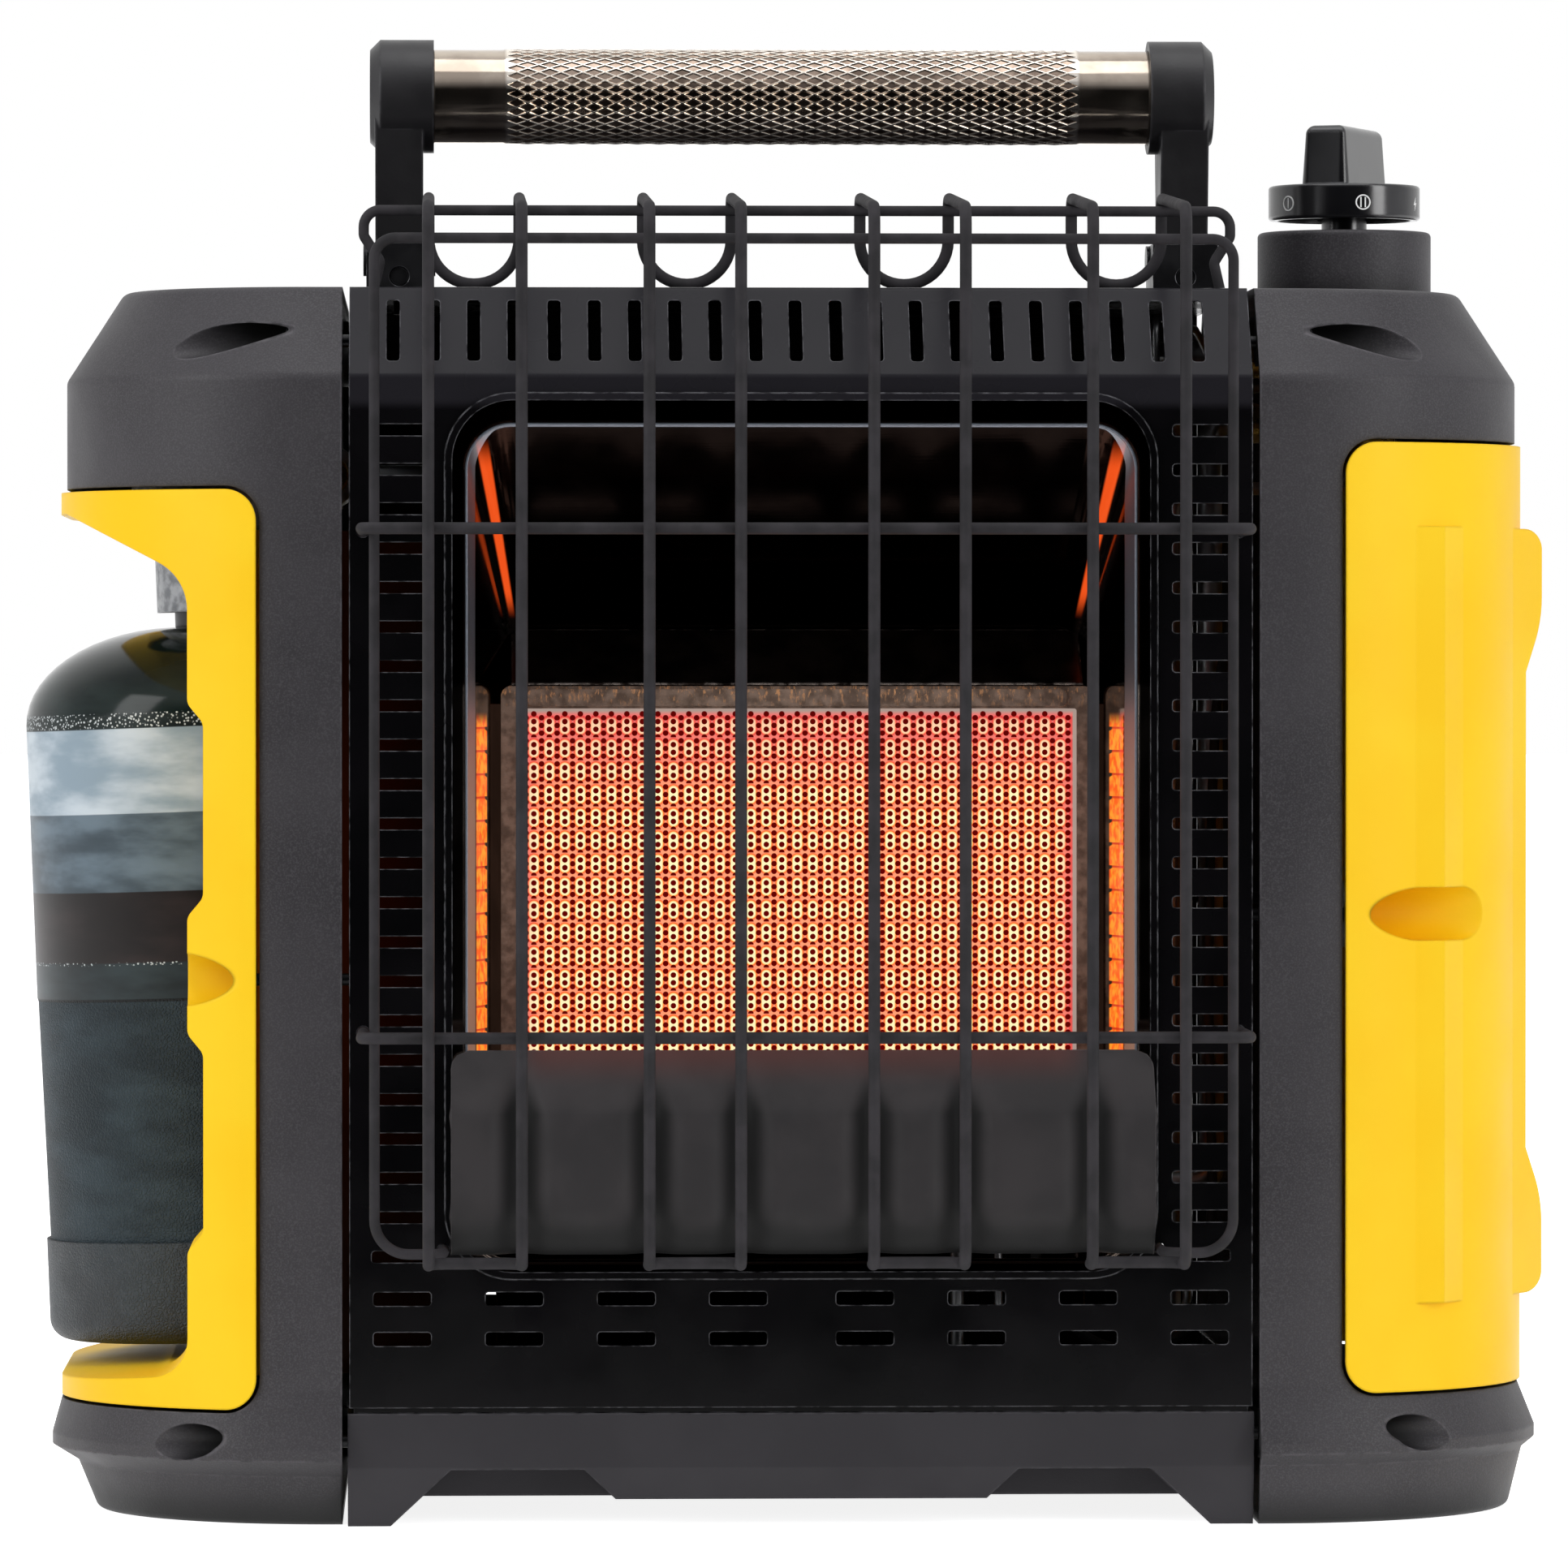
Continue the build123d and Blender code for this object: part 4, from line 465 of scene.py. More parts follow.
@dataclass(frozen=True)
class FiredBowl(Finish):
    """Polished steel, smoked black over the burner: the side walls are left bright to mirror the heat and carry
    a painted reflection of the glowing tile, and the lip is paled by a painted highlight over its unsmoked
    metal.

    Spans that end in out are counted from the middle across, in high from the ground.
    """

    side_out: Span = (67.0, 70.0)
    smoked_high: Span = (198.0, 200.0)
    smoke_mm: float = 6.0
    mouth_half: float = 79.0
    mouth_top: float = 260.6
    mouth_corner: float = 10.5
    lip_inner: Span = (-0.4, -0.1)
    lip_outer: Span = (0.8, 0.4)
    lip_wider: float = 1.6
    lip_wider_out: Span = (72.0, 77.0)
    lip_high: Span = (92.0, 104.0)
    lip_back: Span = (FRONT_Y + 9.2, FRONT_Y + 9.0)
    lip_rough: float = 0.42
    bead_top: float = 250.0
    bead_tall: float = 5.52
    bead_notch: Span = (0.552, 1.104)
    bead_dark: Span = (0.773, 0.331)
    notch_wide: float = 0.5
    strip_inner_out: Span = (74.7, 75.0)
    strip_outer_out: Span = (77.0, 76.8)
    strip_foot_high: Span = (98.0, 100.0)
    strip_top_high: Span = (193.0, 189.0)
    streak_foot: tuple[float, float] = (68.6, 217.8)
    streak_lean: float = 0.18
    streak_spread: float = 0.02
    streak_half: Span = (1.0, 0.4)
    streak_foot_high: Span = (215.0, 222.0)
    streak_top_high: Span = (258.0, 250.0)
    streak_colour_high: Span = (204.0, 206.0)
    heat_mm: float = 2.2

    def colour(self, shading: Shading) -> Socket:
        """Lays smoke over the metal by place, and a painted highlight on the lip.

        Args:
            shading: the tree and its coordinates.

        Returns:
            The colour's socket.
        """
        x, _, z = shading.axes()
        beside = shading.within((shading.node("Math", {0: x}, operation="ABSOLUTE"), self.side_out))
        soot = shading.node("TexNoise", {"Vector": shading.place, "Scale": 1 / self.smoke_mm, "Detail": 4.0})
        above = shading.within((z, self.smoked_high))
        side = shading.coats(Finish.colour(self, shading), (above, "#2C1C16"))
        # The lip's pale silver is a painted highlight over bare metal.
        return shading.coats("#0B0605", (soot, "#17100D"), (beside, side), (self.lip(shading), "#A6AEBA"))

    def lip(self, shading: Shading) -> Socket:
        """Marks the rolled lip round the mouth, which is a rectangle with round corners, where the painted
        highlight and the rougher finish go.

        Args:
            shading: the tree and its coordinates.

        Returns:
            One on the lip, nought behind it.
        """
        node = shading.node
        x, y, z = shading.axes()
        wide = node("Math", {0: x}, operation="ABSOLUTE")
        corner = (self.mouth_half - self.mouth_corner, 0.0, self.mouth_top - self.mouth_corner)
        past = node("VectorMath", {0: node("CombineXYZ", {0: wide, 2: z}), 1: corner}, operation="SUBTRACT")
        past = node("VectorMath", {0: past, 1: (0.0, 0.0, 0.0)}, operation="MAXIMUM")
        reach = node("VectorMath", {0: past}, "Value", operation="LENGTH")
        out = node("Math", {0: reach, 1: self.mouth_corner}, operation="SUBTRACT")
        wider = shading.within((wide, self.lip_wider_out), whole=self.lip_wider)
        inward = node("Math", {0: out, 1: wider}, operation="ADD")
        return shading.within((inward, self.lip_inner), (out, self.lip_outer), (z, self.lip_high),
                              (y, self.lip_back))

    def dullness(self, shading: Shading) -> Socket:
        """Leaves the lip brushed and the bowl polished.

        Args:
            shading: the tree and its coordinates.

        Returns:
            The roughness socket.
        """
        return shading.node("Mix", {0: self.lip(shading), 2: Finish.dullness(self, shading), 3: self.lip_rough})

    def glow(self, shading: Shading) -> Socket:
        """Lays a painted reflection of the glowing tile on the side walls, sent out as light: a beaded strip
        beside the burner, a streak above it.

        Args:
            shading: the tree and its coordinates.

        Returns:
            The light's colour.
        """
        node, within = shading.node, shading.within
        x, _, z = shading.axes()
        wide = node("Math", {0: x}, operation="ABSOLUTE")
        beads = node("Math", {0: self.bead_top, 1: z}, operation="SUBTRACT")
        beads = node("Math", {0: beads, 1: self.bead_tall}, operation="FLOORED_MODULO")
        notch = within((beads, self.bead_notch), whole=self.notch_wide)
        notched = node("Math", {0: wide, 1: notch}, operation="ADD")
        painted_reflection_strip = within((notched, self.strip_inner_out), (wide, self.strip_outer_out), (z, self.strip_top_high),
                       (z, self.strip_foot_high))
        rise = node("Math", {0: z, 1: self.streak_foot[1]}, operation="SUBTRACT")
        middle = node("Math", {0: rise, 1: self.streak_lean, 2: self.streak_foot[0]}, operation="MULTIPLY_ADD")
        aside = node("Math", {0: wide, 1: middle}, operation="SUBTRACT")
        aside = node("Math", {0: aside}, operation="ABSOLUTE")
        aside = node("Math", {0: rise, 1: -self.streak_spread, 2: aside}, operation="MULTIPLY_ADD")
        painted_reflection_streak = within((aside, self.streak_half), (z, self.streak_top_high), (z, self.streak_foot_high))
        cloud = node("TexNoise", {"Vector": shading.place, "Scale": 1 / self.heat_mm})
        # The painted reflection's colour: orange heat with darker beads.
        heat = shading.coats("#FF5A08", (within((cloud, CLOUD)), "#FF9A22"),
                             (within((beads, self.bead_dark)), "#D23408"),
                             (within((z, self.streak_colour_high)), "#F0541C"))
        return shading.coats("#000000", (node("Math", {0: painted_reflection_strip, 1: painted_reflection_streak}, operation="MAXIMUM"), heat))


@dataclass(frozen=True)
class BakedEnamel(Finish):
    """Gloss black enamel, with a painted sheen in grey on the shoulder above the reflector."""

    # Heights over which the shoulder's painted sheen comes in.
    shoulder: Span = (264.0, 267.0)

    def colour(self, shading: Shading) -> Socket:
        """Lays the enamel and the painted grey sheen on the shoulder.

        Args:
            shading: the tree and its coordinates.

        Returns:
            The colour's socket.
        """
        _, _, z = shading.axes()
        return shading.coats(Finish.colour(self, shading), (shading.within((z, self.shoulder)), "#201F23"))


@dataclass(frozen=True)
class ShadedDeflectorPaint(Finish):
    """Matt paint with painted shade down in the valleys, darker along the foot, and a painted warm light from
    the tile along the top edge.
    """

    front: float = FRONT_Y - 16.0
    crease: float = 98.3
    slope: float = 0.816
    # Painted shade in the valleys; the top spans place the tile's painted warm light.
    valley_shade: Span = (0.2, 4.2)
    foot: Span = (80.0, 68.0)
    top: Span = (104.0, 114.0)
    tile_light_out: Span = (70.0, 60.0)
    thin: float = 0.6

    def colour(self, shading: Shading) -> Socket:
        """Paints shade by how far the sheet is set back from its plain form, darkens the foot and paints the
        tile's warm light along the top edge.

        Args:
            shading: the tree and its coordinates.

        Returns:
            The colour's socket.
        """
        node, within = shading.node, shading.within
        x, y, z = shading.axes()
        rise = node("Math", {0: z, 1: self.crease}, operation="SUBTRACT")
        rise = node("Math", {0: rise, 1: 0.0}, operation="MAXIMUM")
        back = node("Math", {0: y, 1: self.front}, operation="SUBTRACT")
        back = node("Math", {0: rise, 1: -self.slope, 2: back}, operation="MULTIPLY_ADD")
        wide = node("Math", {0: x}, operation="ABSOLUTE")
        # Painted shade in the valleys, a darker foot, and the tile's painted warm light along the top.
        return shading.coats(Finish.colour(self, shading), (within((back, self.valley_shade)), "#080808"),
                             (within((z, self.foot), whole=self.thin), "#0A0A0A"),
                             (within((z, self.top), (wide, self.tile_light_out), whole=self.thin), "#5A2C26"))


@dataclass(frozen=True)
class KnurledMetal(Finish):
    """Nickel over steel, rolled with a diamond knurl: bright crests, dark grime in the pits."""

    line: GripLine = GripLine()
    clean: Span = (11.32, 11.51)
    knurled: Span = (70.0, 69.0)
    grime_mm: float = 5.0

    def colour(self, shading: Shading) -> Socket:
        """Colours by how far the metal stands from the tube's axis.

        Args:
            shading: the tree and its coordinates.

        Returns:
            The colour's socket.
        """
        node = shading.node
        x, y, z = shading.axes()
        wide = node("Math", {0: x}, operation="ABSOLUTE")
        across = node("CombineXYZ", {1: y, 2: z})
        reach = node("VectorMath", {0: across, 1: (0.0, self.line.axis_y, self.line.axis_z)}, "Value",
                     operation="DISTANCE")
        grime = node("TexNoise", {"Vector": shading.place, "Scale": 1 / self.grime_mm, "Detail": 3.0})
        worked = shading.coats("#B4A090", (shading.within((grime, CLOUD)), "#7E6D60"),
                               (shading.within((reach, self.clean)), "#FFF6E8"))
        return shading.coats(Finish.colour(self, shading), (shading.within((wide, self.knurled)), worked))


@dataclass(frozen=True)
class BottlePaint(Finish):
    """Gloss bottle paint with a printed sleeve in plain bands and a grained lower sleeve.

    Heights are counted along the leaning bottle. Each printed band has its foot and its two shades.
    """

    lean: BottleLean = BottleLean()
    # The last band, over the dome, is lightened a little: the dome's paint with a painted sheen.
    bands: tuple[tuple[float, str, str], ...] = (
        (60.0, "#1E282D", "#2F3B41"), (124.9, "#1A2123", "#2C373A"), (133.8, "#15100F", "#292120"),
        (151.0, "#3E4A52", "#697984"), (170.0, "#8EA0AC", "#C8D3DA"), (190.6, "#101A19", "#222D2C"))
    band_soft: Span = (-0.15, 0.15)
    cloud_mm: float = 16.0
    cloud_stretch: Triple = (1.6, 1.6, 0.5)
    cloud: Span = (0.35, 0.7)
    speckled: tuple[Span, ...] = ((190.8, 194.4), (133.2, 134.0))
    fleck_mm: float = 0.8
    fleck: Span = (0.42, 0.2)
    seam: Span = (124.3, 125.1)
    line_foot: Span = (-0.1, 0.2)
    line_top: Span = (0.1, -0.2)
    grained: Span = (125.2, 124.2)
    hide_mm: float = 0.9
    hide_deep: float = 0.14
    peel_mm: float = 2.5
    peel_deep: float = 0.004
    printed_rough: float = 0.4
    grained_rough: float = 0.55
    dome: Span = (193.0, 195.0)

    def height_up(self, shading: Shading) -> Socket:
        """Measures the height along the leaning bottle.

        Args:
            shading: the tree and its coordinates.

        Returns:
            The height's socket, in millimetres.
        """
        turn = math.radians(self.lean.degrees)
        up = Vector((math.sin(turn), 0.0, math.cos(turn)))
        along = shading.node("VectorMath", {0: shading.place, 1: up}, "Value", operation="DOT_PRODUCT")
        start = self.lean.pivot[2] - up.dot(Vector(self.lean.pivot))
        return shading.node("Math", {0: along, 1: start}, operation="ADD")

    def colour(self, shading: Shading) -> Socket:
        """Lays the paint, the bands of the sleeve and the speckled edge.

        Args:
            shading: the tree and its coordinates.

        Returns:
            The colour's socket.
        """
        node, coats, within = shading.node, shading.coats, shading.within
        high = self.height_up(shading)
        spread = node("Mapping", {"Vector": shading.place, "Scale": self.cloud_stretch}, vector_type="TEXTURE")
        cloud = node("TexNoise", {"Vector": spread, "Scale": 1 / self.cloud_mm, "Detail": 4.0})
        cloud = within((cloud, self.cloud))
        paint = Finish.colour(self, shading)
        for foot, dark, light in self.bands:
            printed = within((high, self.about(foot, self.band_soft)))
            paint = coats(paint, (printed, coats(dark, (cloud, light))))
        flecks = node("TexVoronoi", {"Vector": shading.place, "Scale": 1 / self.fleck_mm})
        silver = within((flecks, self.fleck))
        for band in self.speckled:
            paint = coats(paint, (self.band(shading, high, band, silver), "#C9CFD0"))
        return coats(paint, (self.band(shading, high, self.seam, 1.0), "#05090A"))

    def band(self, shading: Shading, high: Socket, ends: Span, whole: Any) -> Socket:
        """Marks a level band on the bottle.

        Args:
            shading: the tree and its coordinates.
            high: the height along the bottle.
            ends: where the band begins and ends.
            whole: the result inside it.

        Returns:
            The result's socket, nought outside the band.
        """
        return shading.within((high, self.about(ends[0], self.line_foot)),
                              (high, self.about(ends[1], self.line_top)), whole=whole)

    def about(self, middle: float, span: Span) -> Span:
        """Sets a span about a height."""
        return middle + span[0], middle + span[1]

    def relief(self, shading: Shading) -> Socket:
        """Grains the lower sleeve and leaves the paint above it smooth.

        Args:
            shading: the tree and its coordinates.

        Returns:
            The height's socket.
        """
        node = shading.node
        high = self.height_up(shading)
        hide = node("TexVoronoi", {"Vector": shading.place, "Scale": 1 / self.hide_mm},
                    feature="DISTANCE_TO_EDGE")
        grained = shading.within((hide, CREASE), (high, self.grained), whole=self.hide_deep)
        peel = node("TexNoise", {"Vector": shading.place, "Scale": 1 / self.peel_mm, "Detail": 1.0})
        return node("Math", {0: peel, 1: self.peel_deep, 2: grained}, operation="MULTIPLY_ADD")

    def dullness(self, shading: Shading) -> Socket:
        """Keeps the dome glossy and the lower sleeve matt.

        Args:
            shading: the tree and its coordinates.

        Returns:
            The roughness socket.
        """
        high = self.height_up(shading)
        rough = self.printed_rough
        for (start, end), top in ((self.grained, self.grained_rough), (self.dome, self.rough)):
            rough = shading.node("MapRange", {0: high, 1: start, 2: end, 3: rough, 4: top},
                                 interpolation_type="SMOOTHSTEP")
        return rough


# A finish with an edge colour gets worn edges with a painted highlight along them.
# Glass-filled ABS from a spark-eroded mould: dull, with a fine even grain. The grain is drawn at 0.7 mm, twice
# its real width, so that it still shows, and its tips catch a little light.
# Its wells and creases are darkened with painted shade.
TOWER_PLASTIC = Finish("moulded_grey_abs", "#373538", "#302E31", 30.0, 0.52, 0.05, Grain.SAND, 0.7, 0.03,
                       edge_mm=0.9, edge_wear_and_highlight="#5E5B5F", specular=0.35, speck="#413F42", speck_mm=0.4, painted_shade_mm=12.0)
# The base bars' moulding, a plainer and darker mix of the same plastic, with a fine matt mould.
BASE_PLASTIC = Finish("moulded_charcoal_abs", "#28262A", "#232125", 24.0, 0.55, 0.05, Grain.SAND, 0.5, 0.012,
                      edge_mm=0.8, edge_wear_and_highlight="#4C4A4E", specular=0.35)
# The same moulding in a through-dyed yellow with a smoother mould: satin and even.
YELLOW_PLASTIC = Finish("moulded_yellow_abs", "#FFD21A", "#FFCC10", 40.0, 0.45, 0.04, Grain.SAND, 0.9, 0.01,
                        edge_mm=0.9, specular=0.2)
# The bay's yellow, with painted shade in dark brown inside the housing.
BAY_PLASTIC = ShadedYellow("inside_shaded_yellow_abs", "#FFD21A", "#FFCC10", 40.0, 0.45, 0.04, Grain.SAND, 0.9,
                            0.01, edge_mm=0.9, specular=0.2)
# Sheet steel sprayed with gloss enamel and baked: black, with a slight orange peel, worn folds with a painted
# highlight, and a painted sheen on the shoulder.
HOUSING_ENAMEL = BakedEnamel("baked_black_enamel", "#09080A", "#050506", 30.0, 0.26, 0.06, Grain.PEEL, 1.6,
                             0.006, edge_mm=0.45, edge_wear_and_highlight="#77777B", specular=0.14)
# Drawn and polished stainless: mirror-like at the sides, browned and smoked by heat above, with a painted
# reflection of the tile on the side walls and a painted highlight on the lip.
BOWL_STEEL = FiredBowl("polished_bowl_steel", "#A89A90", "#7C6E64", 14.0, 0.08, 0.03, Grain.BRUSH, 0.5, 0.002,
                       edge_mm=0.5, metallic=1.0)
# Sheet steel over the burner, smoked brown-black by heat.
SMOKED_STEEL = Finish("smoked_sheet_steel", "#2A211C", "#130F0D", 10.0, 0.24, 0.08, Grain.BRUSH, 0.5, 0.01,
                      edge_mm=0.8, metallic=0.9, edge_wear_and_highlight="#A89C94")
# Burner steel that glows in use: rough brown scale.
BURNER_STEEL = HeatedStrip("scaled_burner_steel", "#947C6C", "#6B574A", 3.0, 0.5, 0.12, Grain.CAST, 0.7, 0.05,
                           edge_mm=0.3, metallic=0.5)
# Cordierite at red heat: its own light hides the body colour, which is left a dull brown.
TILE_CERAMIC = GlowingCeramic("drilled_cordierite", "#5E3A2E", "#4C2C22", 6.0, 0.85, 0.05, Grain.SAND, 0.4,
                              0.01, edge_mm=0.05, specular=0.2)
# Pressed mineral fibre, off-white and soft.
GASKET_FIBRE = Finish("pressed_mineral_fibre", "#C8C2B4", "#AFA898", 3.0, 0.95, 0.03, Grain.CAST, 0.8, 0.08)
# Heat-proof silicone paint on sheet steel: charcoal and dead matt, with painted shade in its valleys and a
# painted warm light near the burner.
DEFLECTOR_PAINT = ShadedDeflectorPaint("heatproof_charcoal_paint", "#353233", "#2E2C2D", 14.0, 0.6, 0.05, Grain.PEEL,
                                0.8, 0.008, edge_mm=0.5, edge_wear_and_highlight="#565253", specular=0.25)
# Welded wire dipped in charcoal powder coat: satin, with thin worn streaks.
WIRE_COAT = Finish("charcoal_powder_coat", "#333134", "#29282A", 7.0, 0.68, 0.06, Grain.PEEL, 0.9, 0.008,
                   edge_mm=0.3, specular=0.2)
# Stoved gloss paint, black-green, under a shrunk sleeve of printed film.
BOTTLE_PAINT = BottlePaint("bottle_paint_and_sleeve", "#121C22", "#0A1419", 16.0, 0.12, 0.03, Grain.PEEL,
                           specular=0.2)
# Soft polypropylene cup with a leather-like mould grain, dull green-black.
CUP_PLASTIC = Finish("grained_green_cup", "#1A252B", "#121A1F", 14.0, 0.55, 0.05, Grain.LEATHER, 0.9, 0.12,
                     edge_mm=0.8)
# Zinc alloy die casting, tumbled: matt grey with mottling.
CAST_ZINC = Finish("tumbled_zinc_casting", "#9A9C9E", "#6F7174", 3.0, 0.42, 0.1, Grain.CAST, 1.0, 0.04,
                   edge_mm=0.5, metallic=0.85, edge_wear_and_highlight="#D5D6D6")
# Zinc-plated pressed steel with a clear passivate: bluish, finely scratched.
ZINC_PLATE = Finish("zinc_plated_steel", "#A9ABB0", "#8A8C92", 8.0, 0.32, 0.08, Grain.BRUSH, 0.4, 0.006,
                    edge_mm=0.3, metallic=1.0)
# The same steel blackened: brackets and screws on the outside.
BLACK_PLATE = Finish("blackened_steel_plate", "#2A2A2C", "#1C1C1E", 8.0, 0.35, 0.08, Grain.BRUSH, 0.5, 0.008,
                     edge_mm=0.4, metallic=0.6, edge_wear_and_highlight="#7A7A7E")
# Turned free-cutting brass with tool marks.
TURNED_BRASS = Finish("turned_brass", "#C9A24E", "#A8823A", 6.0, 0.28, 0.06, Grain.BRUSH, 0.35, 0.006,
                      metallic=1.0)
# Soft drawn aluminium tube, dull and slightly dented.
DRAWN_TUBE = Finish("drawn_aluminium_tube", "#B4B5B7", "#97989B", 9.0, 0.36, 0.08, Grain.BRUSH, 0.5, 0.006,
                    metallic=1.0)
# Phenolic moulding buffed to a high gloss: the control knob.
KNOB_PHENOLIC = Finish("buffed_black_phenolic", "#161618", "#0F0F11", 12.0, 0.18, 0.04, Grain.PEEL, 1.5, 0.004,
                       edge_mm=0.7, edge_wear_and_highlight="#46464B", specular=0.8)
# Glass-filled nylon, satin black: handle arms.
ARM_NYLON = Finish("satin_black_nylon", "#1D1C1E", "#161517", 16.0, 0.42, 0.06, Grain.SAND, 0.8, 0.012,
                   edge_mm=0.8, edge_wear_and_highlight="#3F3E42")
# Bright nickel over steel, with the grime of hands in the knurl.
NICKEL_TUBE = KnurledMetal("knurled_nickel_tube", "#CFC2B2", "#B6A899", 12.0, 0.13, 0.04, Grain.BRUSH, 0.4,
                           0.004, edge_mm=0.1, metallic=1.0)
# Glazed alumina rod: white and glassy.
GLAZED_ROD = Finish("glazed_alumina", "#E6E1D6", "#D8D2C4", 6.0, 0.18, 0.04, Grain.PEEL, 1.0, 0.004)
# Extruded silicone sleeve of the lead: matt black.
LEAD_SLEEVE = Finish("silicone_lead_sleeve", "#1C1C1C", "#121212", 8.0, 0.7, 0.05, Grain.SAND, 0.5, 0.01)
# Screen-printed ink, thin and white.
PRINT_INK = Finish("white_screen_ink", "#F2F2F0", "#E4E4E2", 2.0, 0.5, 0.05, Grain.SAND, 0.3, 0.004,
                   edge_mm=0.03)


def dress(finish: Finish, *nodes: str) -> None:
    """Gives nodes of the frame a finish.

    Args:
        finish: the finish.
        nodes: the nodes' names.
    """
    for name in nodes:
        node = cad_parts[name]
        if not node.material_slots:
            node.data.materials.append(finish.make())
        for holder in node.material_slots:
            holder.material = finish.make()


@dataclass
class Piece:
    """A mesh under way in millimetres, and what it becomes."""

    name: str
    finish: Finish
    body: str
    slot: str
    stands_for: tuple[str, ...] = ()
    crease_deg: float = 40.0
    bm: bmesh.types.BMesh = field(default_factory=bmesh.new)

    def settle(self, join: float = 1e-4) -> bpy.types.Object:
        """Closes the mesh, brings it to metres and hangs it on its body.

        Args:
            join: how near points are merged, in millimetres.

        Returns:
            The finished object, at the origin.
        """
        bmesh.ops.remove_doubles(self.bm, verts=self.bm.verts, dist=join)
        bmesh.ops.recalc_face_normals(self.bm, faces=self.bm.faces)
        bmesh.ops.scale(self.bm, vec=(MM, MM, MM), verts=self.bm.verts)
        mesh = bpy.data.meshes.new(self.name)
        for face in self.bm.faces:
            face.smooth = True
        self.bm.to_mesh(mesh)
        self.bm.free()
        mesh.set_sharp_from_angle(angle=math.radians(self.crease_deg))
        mesh.materials.append(self.finish.make())
        piece = bpy.data.objects.new(self.name, mesh)
        bpy.context.scene.collection.objects.link(piece)
        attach(piece, self.body)
        if self.stands_for:
            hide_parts(*self.stands_for)
        return piece


def open_edges(bm: bmesh.types.BMesh) -> list[bmesh.types.BMEdge]:
    """Lists the edges that only one face holds, or none."""
    return [edge for edge in bm.edges if len(edge.link_faces) < 2]


def far_rim(drawn: list[Any]) -> tuple[list[bmesh.types.BMVert], list[bmesh.types.BMEdge]]:
    """Picks the far rim out of what drawing out a loop of edges has made.

    Args:
        drawn: everything that the operator made.

    Returns:
        The rim's vertices and its edges.
    """
    verts = [item for item in drawn if isinstance(item, bmesh.types.BMVert)]
    edges = [item for item in drawn if isinstance(item, bmesh.types.BMEdge)
             and all(vert in verts for vert in item.verts)]
    return verts, edges


